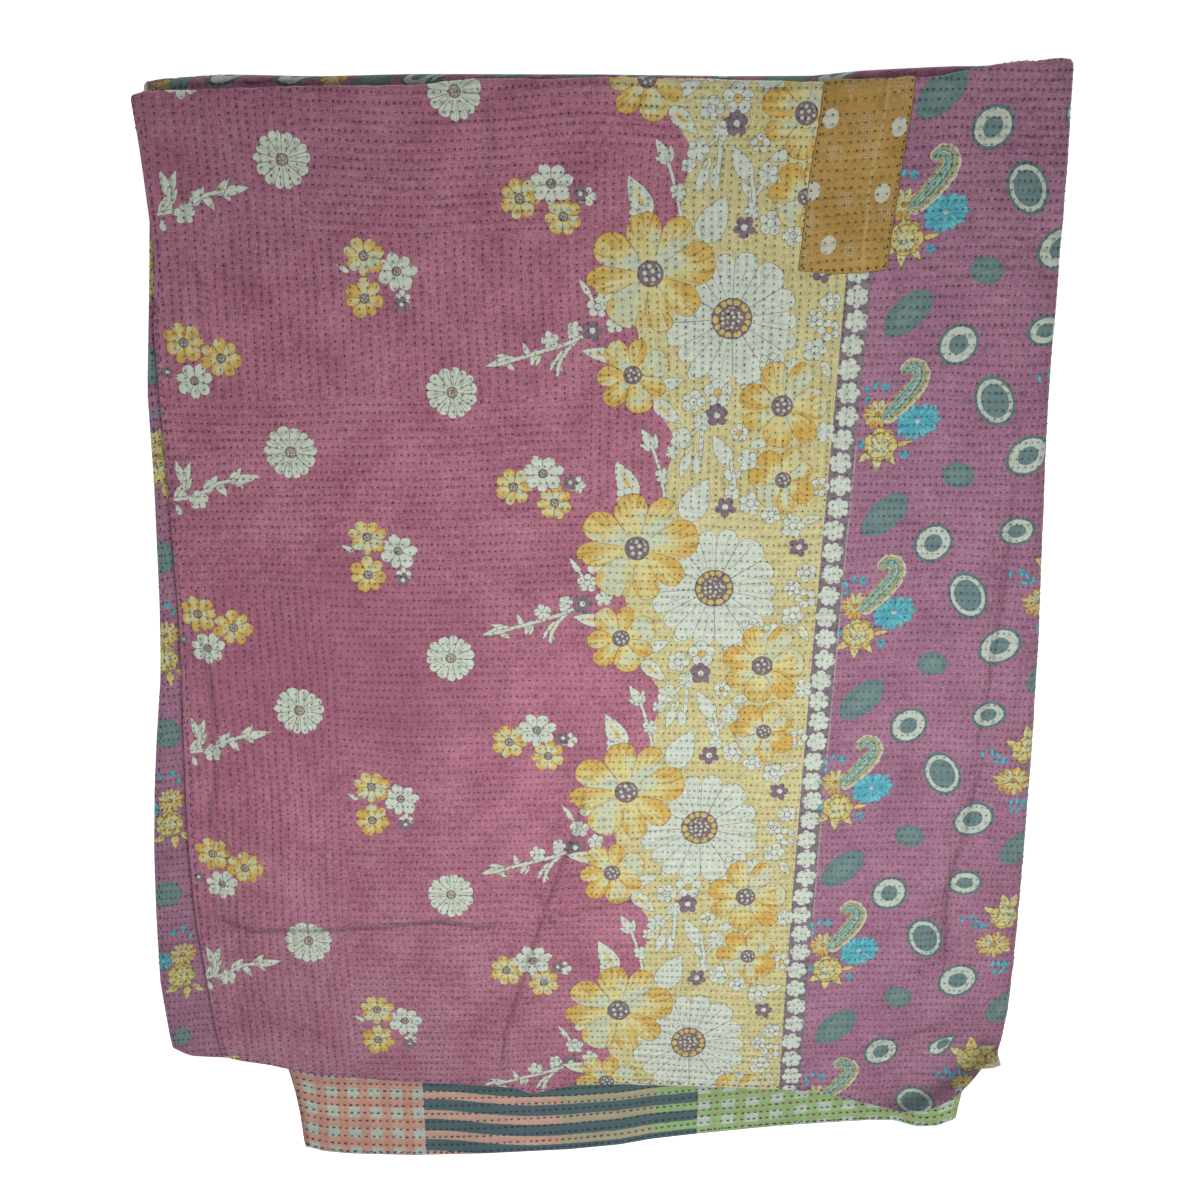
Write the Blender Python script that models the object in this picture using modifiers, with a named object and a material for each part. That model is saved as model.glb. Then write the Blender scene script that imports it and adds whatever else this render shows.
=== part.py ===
"""A hand-stitched kantha quilt, folded in quarters and lying flat.

The cloth is one sheet. It is folded over along its width at the top, with the
reverse inside, and then folded again down the right-hand side, so that four
layers lie on each other: the front leaf, the front under-leaf, the back
under-leaf and the back leaf, which is flat on the surface. An ochre patch is
sewn on the front leaf and laps over the top fold.
X runs across the folded quilt, Y up to the top fold, and Z up through the pile.
"""

import math

import bmesh
import bpy
from mathutils import Vector

MM = 0.001
CLOTH = 3.0 * MM  # thickness of the layered, quilted cloth
STEP = 4.0 * MM  # middle of one leaf to the middle of the next
SLACK = 38.0 * MM  # how far past an edge below it a leaf takes to come down
CENTRE_X = -15.39 * MM  # the pile's middle, in the tables' coordinates
CENTRE_Y = -78.11 * MM
PATCH_THICK = 1.0 * MM
PATCH_GAP = 0.55 * MM
PATCH_LAP = 0.42  # how far round the top fold the patch reaches, as a share
FLARE = 6.0 * MM  # how much the side fold opens out at the hem

# Share of each span given to the bends.
SIDE_BEND = 0.012
TOP_BEND = 0.010
BEND_LINES = 8

# Edges in millimetres, as rows of (place along the edge, place of the edge).
# Front leaf, free left edge: (y, x)
FRONT_LEFT = [
    (-490, -361), (-478, -367), (-458, -371), (-442, -373), (-402, -376),
    (-326, -381), (-230, -381), (-155, -377), (-74, -372), (-12, -369),
    (74, -368), (162, -367), (236, -366), (270, -362), (288, -359.5),
    (350, -362), (385, -363.5), (420, -367),
]
# Under-leaf of the front pair, free left edge: (y, x)
FRONT_UNDER_LEFT = [
    (-599, -294), (-585, -298), (-550, -300), (-508, -305), (-486, -308),
    (-300, -320), (0, -339), (250, -355), (420, -366),
]
# Under-leaf of the back pair, free left edge: (y, x)
BACK_UNDER_LEFT = [
    (-482, -413), (-470, -420), (-446, -422), (-395, -425), (-326, -422),
    (-255, -417), (-188, -410), (-138, -403), (-74, -393), (-12, -388),
    (102, -382), (180, -380), (273, -369), (350, -361), (424, -352),
]
# Back leaf, free left edge: (y, x)
BACK_LEFT = [(-470, -398), (-250, -396), (0, -376), (250, -366), (424, -360)]
# Side fold of the outer leaves and of the inner leaves: (y, x)
SIDE_FOLD_OUTER = [
    (-540, 374), (-485, 375), (-447, 379.5), (-437, 381), (-401, 382.5),
    (-361, 383.5), (-275, 382.5), (-153, 380), (-37, 375), (72, 368.5),
    (150, 365.5), (226, 363), (298, 361.5), (368, 361), (443, 356),
]
SIDE_FOLD_INNER = [
    (-565, 350), (-500, 354), (-400, 361), (-200, 368), (72, 362),
    (443, 356),
]
# Hem of the front leaf: (x, y)
FRONT_HEM = [
    (-370, -473), (-362, -479), (-345, -482), (-325, -483), (-310, -487),
    (-292, -493), (-196, -503), (-98, -509), (-84, -512), (-70, -520),
    (-56, -513), (-29, -506), (20, -504), (98, -506), (176, -509),
    (216, -512), (256, -524), (301, -538), (325, -537), (340, -526),
    (353, -514), (362, -503), (371, -489), (378, -474),
]
# Hem of the back leaf: (x, y)
BACK_HEM = [
    (-398, -456), (-300, -466), (0, -485), (250, -500), (340, -508),
    (360, -506), (370, -502), (378, -496),
]
# Hem of the front pair's under-leaf: (x, y)
FRONT_UNDER_HEM = [
    (-298, -589), (-282, -595), (-256, -598), (-192, -600), (-120, -598),
    (-34, -593), (20, -587), (53, -580), (97, -574), (165, -566),
    (267, -556), (293, -555), (319, -564), (340, -561), (351, -552),
]
# Hem of the back pair's under-leaf: (x, y)
BACK_UNDER_HEM = [
    (-420, -470), (-408, -480), (-373, -482), (-200, -494), (0, -511),
    (200, -529), (300, -538), (351, -544),
]
# Line of the top fold, in the front pair and in the back pair: (x, y)
TOP_FOLD_FRONT = [
    (-367, 411), (-352, 414.5), (-195, 416), (0, 419), (171, 421),
    (262, 424), (285, 429), (310, 433), (357, 438),
]
TOP_FOLD_BACK = [
    (-353, 422), (-330, 424.5), (-289, 427), (-224, 425.5), (-140, 427.5),
    (0, 427), (100, 425.5), (166, 425.5), (181, 427), (205, 429.5),
    (245, 431.5), (278, 433), (305, 433), (338, 436), (357, 438.5),
]

# Creases of the front leaf: (points, height, width), all in millimetres. A
# height below 0 is a trough.
CREASES = [
    ([(-372, -300), (-332, -317), (-264, -317), (-193, -310), (-152, -308),
      (-118, -316), (-78, -315), (-46, -310), (16, -303)], 3.2, 13),
    ([(-372, -324), (-264, -339), (-152, -331), (-60, -336)], -1.6, 12),
    ([(-14, -177), (-15, -212), (-31, -250), (-46, -284), (-60, -314),
      (-66, -346), (-75, -384), (-93, -435), (-100, -490)], 3.0, 14),
    ([(-318, 418), (-306, 250), (-296, 0), (-300, -180)], -1.8, 26),
    ([(-252, 418), (-246, 200), (-250, -40)], 1.6, 34),
    ([(318, 436), (332, 200), (330, 0), (322, -150), (300, -330),
      (262, -500)], 2.6, 26),
    ([(348, 110), (350, 0), (346, -130)], -1.5, 8),
    ([(364, 130), (366, 0), (360, -150)], 1.4, 8),
    ([(-360, -165), (-330, -185), (-300, -190)], -1.7, 30),
    ([(-210, 420), (-190, 350), (-200, 280)], 1.5, 20),
    ([(-80, 422), (-60, 380), (-75, 320)], 1.5, 16),
    ([(70, 424), (80, 370), (60, 300), (68, 240)], 1.6, 18),
    ([(150, 60), (140, -90), (160, -240), (140, -420)], 1.3, 28),
    ([(-170, 120), (-150, -30), (-180, -160)], 1.2, 36),
    ([(230, -470), (270, -430), (320, -420), (370, -400)], 1.8, 16),
    ([(-120, -494), (-90, -460), (-40, -450)], 1.5, 14),
]
# Corners of the ochre patch on the front leaf: (x, y), from bottom left,
# round to top left. The top pair lies on the fold.
PATCH_CORNERS = [(160, 282), (232, 288), (245, 424), (174, 422)]
PATCH_SIDE_BOW = [0.0, 0.5, 1.5, 1.0, 0.0]  # the left side bows out, in mm


def step_up(x):
    """Smooth step from 0 to 1 while x runs from 0 to 1."""
    x = min(1.0, max(0.0, x))
    return x * x * (3 - 2 * x)


def read(table, x):
    """The table's second column at x, in metres, rounded off at its points."""
    x /= MM
    if x <= table[0][0]:
        return table[0][1] * MM
    for (x0, y0), (x1, y1) in zip(table, table[1:]):
        if x <= x1:
            return (y0 + (y1 - y0) * (x - x0) / (x1 - x0)) * MM
    return table[-1][1] * MM


def to_line(x, y, points):
    """Distance from (x, y) to a run of points given in millimetres, and how
    far along the run the nearest place is, from 0 to 1."""
    best = (1e9, 0.0)
    count = len(points) - 1
    for i, ((ax, ay), (bx, by)) in enumerate(zip(points, points[1:])):
        ax, ay, bx, by = ax * MM, ay * MM, bx * MM, by * MM
        dx, dy = bx - ax, by - ay
        k = ((x - ax) * dx + (y - ay) * dy) / (dx * dx + dy * dy)
        k = min(1.0, max(0.0, k))
        gap = math.hypot(x - ax - k * dx, y - ay - k * dy)
        best = min(best, (gap, (i + k) / count))
    return best


def near(gap, width):
    return math.exp(-((gap / (width * MM)) ** 2))


def covers(x, y, left, hem):
    """1 over the leaf with these edges, coming down to 0 past them."""
    past_left = (read(left, y) - x) / SLACK
    past_hem = (read(hem, x) - y) / SLACK
    return (1 - step_up(past_left)) * (1 - step_up(past_hem))


def heights(x, y):
    """Height of the middle of each leaf at (x, y), back leaf first."""
    below_top = read(TOP_FOLD_FRONT, x) - y
    inside_fold = read(SIDE_FOLD_OUTER, y) - x
    top_roll = near(below_top, 45)
    side_roll = near(inside_fold, 55)
    over_back = covers(x, y, BACK_LEFT, BACK_HEM)
    over_back_under = covers(x, y, BACK_UNDER_LEFT, BACK_UNDER_HEM)
    over_front_under = covers(x, y, FRONT_UNDER_LEFT, FRONT_UNDER_HEM)
    swell = 1.1 + math.sin(11 * x + 5 * y + 0.6) * math.sin(9 * y - 4 * x + 1.1)
    swell_2 = 1.1 + math.sin(17 * x - 8 * y + 2.0) * math.sin(14 * y + 1.9)
    back = CLOTH / 2
    back_under = back + over_back * (
        STEP + (0.3 + 0.5 * swell + 1.6 * top_roll) * MM
    )
    front_under = back_under + over_back_under * (
        STEP + (0.3 + 0.7 * swell_2 + 2.6 * side_roll) * MM
    )
    crease = 0.0
    for points, high, wide in CREASES:
        gap, along = to_line(x, y, points)
        fade = step_up(along / 0.15) * step_up((1 - along) / 0.15)
        crease += high * near(gap, wide) * (0.35 + 0.65 * fade)
    crease = max(-1.6, crease)
    front = front_under + over_front_under * STEP
    front += (1.9 + crease + 0.4 * swell + 1.8 * top_roll) * MM
    return back, back_under, front_under, front


def mix(a, b, share):
    return a + (b - a) * share


def middle(s, r):
    """The middle of the cloth. s runs from the front's free edge (0) to the
    side fold (1) and on to the back's free edge (2); r runs from the front
    leaf's hem (0) to the top fold (1) and on to the under-leaf's hem (2)."""
    turn = min(math.pi, max(0.0, (s - 1 + SIDE_BEND) / SIDE_BEND * math.pi / 2))
    over = min(math.pi, max(0.0, (r - 1 + TOP_BEND) / TOP_BEND * math.pi / 2))
    front = (1 + math.cos(turn)) / 2
    outer = (1 + math.cos(over)) / 2
    across = min(s, 2 - s) / (1 - SIDE_BEND)
    across = min(1.0, across)
    along = min(1.0, min(r, 2 - r) / (1 - TOP_BEND))

    def place(top, hem, left, fold):
        x = mix(hem[0][0], hem[-1][0], across) * MM
        x_top = mix(top[0][0], top[-1][0], across) * MM
        y = mix(read(hem, x), read(top, x_top), along)
        return mix(read(left, y), read(fold, y), across), y

    spots = [
        (front * outer, place(TOP_FOLD_FRONT, FRONT_HEM, FRONT_LEFT, SIDE_FOLD_OUTER)),
        (front * (1 - outer), place(TOP_FOLD_FRONT, FRONT_UNDER_HEM, FRONT_UNDER_LEFT, SIDE_FOLD_INNER)),
        ((1 - front) * (1 - outer), place(TOP_FOLD_BACK, BACK_UNDER_HEM, BACK_UNDER_LEFT, SIDE_FOLD_INNER)),
        ((1 - front) * outer, place(TOP_FOLD_BACK, BACK_HEM, BACK_LEFT, SIDE_FOLD_OUTER)),
    ]
    x = sum(share * spot[0] for share, spot in spots)
    y = sum(share * spot[1] for share, spot in spots)
    back, back_under, front_under, front_top = heights(x, y)
    z = mix(
        mix(back_under, back, outer), mix(front_under, front_top, outer), front
    )
    side = mix(front_under - back_under, front_top - back, outer) / 2
    side += FLARE * outer * near(r * 0.93, 9)
    top = mix(back_under - back, front_top - front_under, front) / 2
    return Vector((
        x + side * math.sin(turn) - CENTRE_X,
        y + top * math.sin(over) - CENTRE_Y,
        z,
    ))


def spread(spans):
    """Line places from spans of (end, lines), starting at 0."""
    lines = [0.0]
    for end, count in spans:
        start = lines[-1]
        lines += [mix(start, end, (i + 1) / count) for i in range(count)]
    return lines


ACROSS = spread([
    (0.03, 2), (0.13, 4), (1 - SIDE_BEND, 21), (1 + SIDE_BEND, BEND_LINES),
    (1.10, 2), (1.82, 5), (2.0, 4),
])
ALONG = spread([
    (0.03, 2), (0.10, 3), (1 - TOP_BEND, 25), (1 + TOP_BEND, BEND_LINES),
    (1.10, 2), (1.80, 5), (2.0, 10),
])


def grid(name, columns, rows, place):
    """An open grid of the right size, each point moved to its place."""
    mesh = bpy.data.meshes.new(name)
    bm = bmesh.new()
    bmesh.ops.create_grid(
        bm, x_segments=columns - 1, y_segments=rows - 1, size=1.0
    )
    for vert in bm.verts:
        i = round((vert.co.x + 1) / 2 * (columns - 1))
        j = round((vert.co.y + 1) / 2 * (rows - 1))
        vert.co = place(i, j)
    bm.normal_update()
    bm.to_mesh(mesh)
    bm.free()
    return bpy.data.objects.new(name, mesh)


def material(name, colour, roughness):
    made = bpy.data.materials.new(name)
    made.use_nodes = True
    shader = made.node_tree.nodes["Principled BSDF"]
    shader.inputs["Base Color"].default_value = (*colour, 1)
    shader.inputs["Roughness"].default_value = roughness
    shader.inputs["Metallic"].default_value = 0.0
    return made


def thicken(ob, thickness, offset):
    solid = ob.modifiers.new("cloth", "SOLIDIFY")
    solid.thickness = thickness
    solid.offset = offset
    solid.use_even_offset = True
    for face in ob.data.polygons:
        face.use_smooth = True


def quilt():
    ob = grid(
        "quilt", len(ACROSS), len(ALONG),
        lambda i, j: middle(ACROSS[i], ALONG[j]),
    )
    thicken(ob, CLOTH, 0.0)
    ob.data.materials.append(material("rose_print", (0.38, 0.12, 0.20), 0.92))
    return ob


def share_of(x, y):
    """The (s, r) of a place on the front leaf, by closing in on it."""
    s, r = 0.5, 0.5
    for _ in range(40):
        at = middle(s, r)
        s += (x - CENTRE_X - at.x) / 0.74
        r += (y - CENTRE_Y - at.y) / 0.92
        s = min(1 - SIDE_BEND, max(0.0, s))
        r = min(1 - TOP_BEND, max(0.0, r))
    return s, r


def patch():
    columns, rows, lap_rows = 9, 15, 4
    low_left, low_right, top_right, top_left = [
        Vector((x * MM, y * MM)) for x, y in PATCH_CORNERS
    ]

    def place(i, j):
        up = min(1.0, j / (rows - 1 - lap_rows))
        left = low_left.lerp(top_left, up)
        bow = up * (len(PATCH_SIDE_BOW) - 1)
        k = min(int(bow), len(PATCH_SIDE_BOW) - 2)
        left.x -= mix(PATCH_SIDE_BOW[k], PATCH_SIDE_BOW[k + 1], bow - k) * MM
        spot = left.lerp(low_right.lerp(top_right, up), i / (columns - 1))
        s, r = share_of(spot.x, spot.y)
        if j > rows - 1 - lap_rows:
            round_fold = (j - (rows - 1 - lap_rows)) / lap_rows
            r = mix(r, 1 - TOP_BEND + 2 * TOP_BEND * PATCH_LAP, round_fold)
        at = middle(s, r)
        step = 1e-4
        normal = (middle(s + step, r) - at).cross(middle(s, r + step) - at)
        return at + normal.normalized() * (CLOTH / 2 + PATCH_GAP)

    ob = grid("ochre_patch", columns, rows, place)
    thicken(ob, PATCH_THICK, 1.0)
    ob.data.materials.append(material("ochre_cloth", (0.49, 0.27, 0.05), 0.95))
    return ob


for old in list(bpy.data.objects):
    bpy.data.objects.remove(old, do_unlink=True)
folder = bpy.data.collections.new("kantha_quilt")
bpy.context.scene.collection.children.link(folder)
folder.objects.link(quilt())
folder.objects.link(patch())
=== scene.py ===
# A kantha quilt folded in quarters, dressed on its fixed frame.

import math

import bpy
import mathutils
import numpy as np
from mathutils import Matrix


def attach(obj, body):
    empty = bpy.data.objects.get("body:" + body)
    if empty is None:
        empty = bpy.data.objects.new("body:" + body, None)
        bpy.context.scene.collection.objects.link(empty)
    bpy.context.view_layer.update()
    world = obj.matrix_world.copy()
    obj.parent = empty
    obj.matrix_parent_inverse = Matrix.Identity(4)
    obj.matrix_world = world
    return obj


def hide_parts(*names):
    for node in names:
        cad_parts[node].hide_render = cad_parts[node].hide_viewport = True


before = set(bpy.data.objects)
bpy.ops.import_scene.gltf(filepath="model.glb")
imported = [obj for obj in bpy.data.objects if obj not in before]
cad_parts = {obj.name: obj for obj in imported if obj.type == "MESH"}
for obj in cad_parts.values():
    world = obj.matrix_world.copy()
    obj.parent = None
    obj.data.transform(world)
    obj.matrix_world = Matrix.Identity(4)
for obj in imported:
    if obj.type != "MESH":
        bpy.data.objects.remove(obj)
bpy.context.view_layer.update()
print("frame loaded", sorted(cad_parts))

mm = 0.001

# The folds follow the solid's own sizes. Lengths are in millimetres, in the
# layout's coordinates, whose origin is at `centre` from the frame's.
quilt = {
    "cloth": 3.0,  # thickness of the quilted cloth
    "step": 4.0,  # middle of one leaf to the middle of the next
    "slack": 38.0,  # how far past an edge a leaf takes to come down
    "centre": (-15.39, -78.11),
    "flare": 6.0,  # how much the side fold opens at the hem
    "sideBend": 0.012,  # share of the width on each side of the side fold
    "topBend": 0.010,
    "across": 745.0,  # from a free edge to the side fold
    "along": 930.0,  # from a hem to the top fold
    "rim": (0, 0.4, 1.2, 2.4, 4.4),  # mesh lines in from a free edge
    "cell": 4.0,  # from line to line where the cloth shows
    "hiddenCell": 19.0,  # and where it lies hidden
    "wrinkles": 0.55,  # height of the small wrinkles
}

# (y, x) down the free left edges and the side fold.
leftEdge = {
    "front": [
        (-490, -361), (-478, -367), (-458, -371), (-442, -373), (-402, -376),
        (-326, -381), (-230, -381), (-155, -377), (-74, -372), (-12, -369),
        (74, -368), (162, -367), (236, -366), (270, -362), (288, -359.5),
        (350, -362), (385, -363.5), (420, -367),
    ],
    "frontUnder": [
        (-599, -294), (-585, -298), (-550, -300), (-508, -305), (-486, -308),
        (-300, -320), (0, -339), (250, -355), (420, -366),
    ],
    "backUnder": [
        (-482, -413), (-470, -420), (-446, -422), (-395, -425), (-326, -422),
        (-255, -417), (-188, -410), (-138, -403), (-74, -393), (-12, -388),
        (102, -382), (180, -380), (273, -369), (350, -361), (424, -352),
    ],
    "back": [(-470, -398), (-250, -396), (0, -376), (250, -366), (424, -360)],
}
sideFold = {
    "outer": [
        (-540, 374), (-485, 375), (-447, 379.5), (-437, 381), (-401, 382.5),
        (-361, 383.5), (-275, 382.5), (-153, 380), (-37, 375), (72, 368.5),
        (150, 365.5), (226, 363), (298, 361.5), (368, 361), (443, 356),
    ],
    "inner": [
        (-565, 350), (-500, 354), (-400, 361), (-200, 368), (72, 362),
        (443, 356),
    ],
}
# (x, y) along the hems and the top fold.
hem = {
    "front": [
        (-370, -473), (-362, -479), (-345, -482), (-325, -483), (-310, -487),
        (-292, -493), (-196, -503), (-98, -509), (-84, -512), (-70, -520),
        (-56, -513), (-29, -506), (20, -504), (98, -506), (176, -509),
        (216, -512), (256, -524), (301, -538), (325, -537), (340, -526),
        (353, -514), (362, -503), (371, -489), (378, -474),
    ],
    "back": [
        (-398, -456), (-300, -466), (0, -485), (250, -500), (340, -508),
        (360, -506), (370, -502), (378, -496),
    ],
    "frontUnder": [
        (-298, -589), (-282, -595), (-256, -598), (-192, -600), (-120, -598),
        (-34, -593), (20, -587), (53, -580), (97, -574), (165, -566),
        (267, -556), (293, -555), (319, -564), (340, -561), (351, -552),
    ],
    "backUnder": [
        (-420, -470), (-408, -480), (-373, -482), (-200, -494), (0, -511),
        (200, -529), (300, -538), (351, -544),
    ],
}
topFold = {
    "front": [
        (-367, 411), (-352, 414.5), (-195, 417.5), (-140, 419), (-101, 422.5),
        (0, 424), (78, 422.5), (130, 421), (171, 420.5), (262, 424), (285, 429),
        (310, 433), (357, 438),
    ],
    "back": [
        (-353, 422), (-330, 424.5), (-289, 427), (-224, 425.5), (-140, 427.5),
        (0, 427), (100, 425.5), (166, 425.5), (181, 427), (205, 429.5),
        (245, 431.5), (278, 433), (305, 433), (338, 436), (357, 438.5),
    ],
}
# (points, height, width) of each soft ridge, and of each trough where the
# height is below 0.
creases = [
    ([(-372, -300), (-332, -317), (-264, -317), (-193, -310), (-152, -308),
      (-118, -316), (-78, -315), (-46, -310), (16, -303)], 3.2, 13),
    ([(-372, -324), (-264, -339), (-152, -331), (-60, -336)], -1.6, 12),
    ([(-14, -177), (-15, -212), (-31, -250), (-46, -284), (-60, -314),
      (-66, -346), (-75, -384), (-93, -435), (-100, -490)], 3.0, 14),
    ([(-318, 418), (-306, 250), (-296, 0), (-300, -180)], -1.8, 26),
    ([(-252, 418), (-246, 200), (-250, -40)], 1.6, 34),
    ([(318, 436), (332, 200), (330, 0), (322, -150), (300, -330),
      (262, -500)], 2.6, 26),
    ([(348, 110), (350, 0), (346, -130)], -1.5, 8),
    ([(364, 130), (366, 0), (360, -150)], 1.4, 8),
    ([(-360, -165), (-330, -185), (-300, -190)], -1.7, 30),
    ([(-210, 420), (-190, 350), (-200, 280)], 1.5, 20),
    ([(-80, 422), (-60, 380), (-75, 320)], 1.5, 16),
    ([(70, 424), (80, 370), (60, 300), (68, 240)], 1.6, 18),
    ([(150, 60), (140, -90), (160, -240), (140, -420)], 1.3, 28),
    ([(-170, 120), (-150, -30), (-180, -160)], 1.2, 36),
    ([(230, -480), (270, -444), (320, -430), (370, -410)], 4.5, 20),
    ([(346, -140), (340, -190), (329, -256), (324, -300), (328, -383)], -3.2, 11),
    ([(-120, -494), (-90, -460), (-40, -450)], 1.5, 14),
]


def stepUp(x):
    # 0 below 0, 1 above 1, eased between
    x = np.clip(x, 0, 1)
    return x * x * (3 - 2 * x)


def mix(a, b, share):
    return a + (b - a) * share


def addObject(name, data):
    thing = bpy.data.objects.new(name, data)
    bpy.context.scene.collection.objects.link(thing)
    return thing


def cellCorners(grid):
    # the four corners of each cell of a grid, in turn
    return np.stack([
        grid[:-1, :-1], grid[1:, :-1], grid[1:, 1:], grid[:-1, 1:]
    ], -1).reshape(-1, 4)


smoothed = {}


def read(table, x):
    # the table's second column at x, eased over its corners
    key = id(table)
    if key not in smoothed:
        low, high = table[0][0], table[-1][0]
        at = np.arange(low - 40, high + 41, 1.0)
        pad = np.interp(at, *np.array(table, float).T)
        weights = np.exp(-((np.arange(-9, 10) / 4.0) ** 2))
        eased = np.convolve(pad, weights / weights.sum(), "same")
        eased[:12], eased[-12:] = pad[:12], pad[-12:]
        smoothed[key] = at, eased
    return np.interp(x, *smoothed[key])


def toLine(x, y, points):
    # distance to a run of points, and the share along it
    best = np.full(np.shape(x), 1e9)
    where = np.zeros(np.shape(x))
    for i, ((ax, ay), (bx, by)) in enumerate(zip(points, points[1:])):
        dx, dy = bx - ax, by - ay
        k = np.clip(((x - ax) * dx + (y - ay) * dy) / (dx * dx + dy * dy), 0, 1)
        gap = np.hypot(x - ax - k * dx, y - ay - k * dy)
        closer = gap < best
        best = np.where(closer, gap, best)
        where = np.where(closer, (i + k) / (len(points) - 1), where)
    return best, where


def near(gap, width):
    return np.exp(-((gap / width) ** 2))


def covers(x, y, leaf):
    # how far a leaf holds up what lies on it at (x, y), from 0 to 1
    pastLeft = (read(leftEdge[leaf], y) - x) / quilt["slack"]
    pastHem = (read(hem[leaf], x) - y) / quilt["slack"]
    return (1 - stepUp(pastLeft)) * (1 - stepUp(pastHem))


def heights(x, y):
    # height of the middle of each leaf at (x, y), back leaf first
    topRoll = near(read(topFold["front"], x) - y, 45)
    sideRoll = near(read(sideFold["outer"], y) - x, 55)
    u, v = x * mm, y * mm
    swell = 1.1 + np.sin(11 * u + 5 * v + 0.6) * np.sin(9 * v - 4 * u + 1.1)
    swell2 = 1.1 + np.sin(17 * u - 8 * v + 2.0) * np.sin(14 * v + 1.9)
    step = quilt["step"]
    back = np.full(np.shape(x), quilt["cloth"] / 2)
    backUnder = back + covers(x, y, "back") * (
        step + 0.3 + 0.5 * swell + 1.6 * topRoll
    )
    frontUnder = backUnder + covers(x, y, "backUnder") * (
        step + 0.3 + 0.7 * swell2 + 2.6 * sideRoll
    )
    crease = np.zeros(np.shape(x))
    for points, high, wide in creases:
        gap, along = toLine(x, y, points)
        fade = stepUp(along / 0.15) * stepUp((1 - along) / 0.15)
        crease = crease + high * near(gap, wide) * (0.35 + 0.65 * fade)
    front = frontUnder + covers(x, y, "frontUnder") * step
    front = front + 1.9 + np.maximum(-1.6, crease) + 0.4 * swell + 1.8 * topRoll
    return back, backUnder, frontUnder, front


def bends(s, r):
    # the angles turned through at the side fold and at the top fold
    turn = np.clip((s - 1 + quilt["sideBend"]) / quilt["sideBend"], 0, 2)
    over = np.clip((r - 1 + quilt["topBend"]) / quilt["topBend"], 0, 2)
    return turn * math.pi / 2, over * math.pi / 2


def layout(s, r):
    # s runs from the front's free edge (0) over the side fold (1) to the
    # back's free edge (2), and r from the leaf's hem (0) over the top fold (1)
    # to the under-leaf's hem (2)
    turn, over = bends(s, r)
    front = (1 + np.cos(turn)) / 2
    outer = (1 + np.cos(over)) / 2
    across = np.minimum(1, np.minimum(s, 2 - s) / (1 - quilt["sideBend"]))
    along = np.minimum(1, np.minimum(r, 2 - r) / (1 - quilt["topBend"]))
    x, y = 0, 0
    for share, top, leaf, side in (
        (front * outer, "front", "front", "outer"),
        (front * (1 - outer), "front", "frontUnder", "inner"),
        ((1 - front) * (1 - outer), "back", "backUnder", "inner"),
        ((1 - front) * outer, "back", "back", "outer"),
    ):
        hx = mix(hem[leaf][0][0], hem[leaf][-1][0], across)
        tx = mix(topFold[top][0][0], topFold[top][-1][0], across)
        leafY = mix(read(hem[leaf], hx), read(topFold[top], tx), along)
        leafX = mix(
            read(leftEdge[leaf], leafY), read(sideFold[side], leafY), across
        )
        x = x + share * leafX
        y = y + share * leafY
    return x, y, front, outer, turn, over


def middle(s, r):
    # the middle of the cloth in the frame, in millimetres
    x, y, front, outer, turn, over = layout(s, r)
    back, backUnder, frontUnder, frontTop = heights(x, y)
    z = mix(mix(backUnder, back, outer), mix(frontUnder, frontTop, outer), front)
    side = mix(frontUnder - backUnder, frontTop - back, outer) / 2
    side = side + quilt["flare"] * outer * near(r * quilt["along"], 9)
    top = mix(backUnder - back, frontTop - frontUnder, front) / 2
    return np.stack([
        x + side * np.sin(turn) - quilt["centre"][0],
        y + top * np.sin(over) - quilt["centre"][1],
        z + 0 * x,
    ], -1)


def shareOf(x, y):
    # the (s, r) of places on the front leaf, given in the layout
    s = np.full(np.shape(x), 0.5)
    r = np.full(np.shape(x), 0.5)
    for _ in range(30):
        at = layout(s, r)
        s = np.clip(s + (x - at[0]) / quilt["across"], 0, 1 - quilt["sideBend"])
        r = np.clip(r + (y - at[1]) / quilt["along"], 0, 1 - quilt["topBend"])
    return s, r


def noiseField(seed, cell):
    # smooth value noise over the layout, cell = (x, y) size in mm
    rng = np.random.default_rng(seed)
    values = rng.uniform(-1, 1, (512, 512))

    def at(x, y):
        u, v = (x + 4000.0) / cell[0], (y + 4000.0) / cell[1]
        i, j = np.floor(u).astype(int), np.floor(v).astype(int)
        a, b = stepUp(u - i), stepUp(v - j)
        i, j, k, l = i % 512, j % 512, (i + 1) % 512, (j + 1) % 512
        return mix(
            mix(values[i, j], values[k, j], a),
            mix(values[i, l], values[k, l], a), b,
        )

    return at


def shareLines(long, bend, shown):
    first = np.r_[quilt["rim"], np.arange(8, long * (1 - bend) - 2, quilt["cell"])]
    over = np.linspace(1 - bend, 1 + bend, 9)
    hidden = np.arange(
        long * (1 + bend) + 6, long * 2 - shown, quilt["hiddenCell"]
    )
    last = np.r_[np.arange(shown, 7, -quilt["cell"]), quilt["rim"][::-1]]
    return np.r_[first / long, over, hidden / long, 2 - last / long]


acrossLines = shareLines(quilt["across"], quilt["sideBend"], 64)
alongLines = shareLines(quilt["along"], quilt["topBend"], 44)
shareS, shareR = np.meshgrid(acrossLines, alongLines, indexing="ij")
cloth = middle(shareS, shareR)
dS = np.gradient(cloth, acrossLines, axis=0)
dR = np.gradient(cloth, alongLines, axis=1)
clothNormal = np.cross(dS, dR)
clothNormal /= np.linalg.norm(clothNormal, axis=-1, keepdims=True)
layX, layY = layout(shareS, shareR)[:2]

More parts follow.
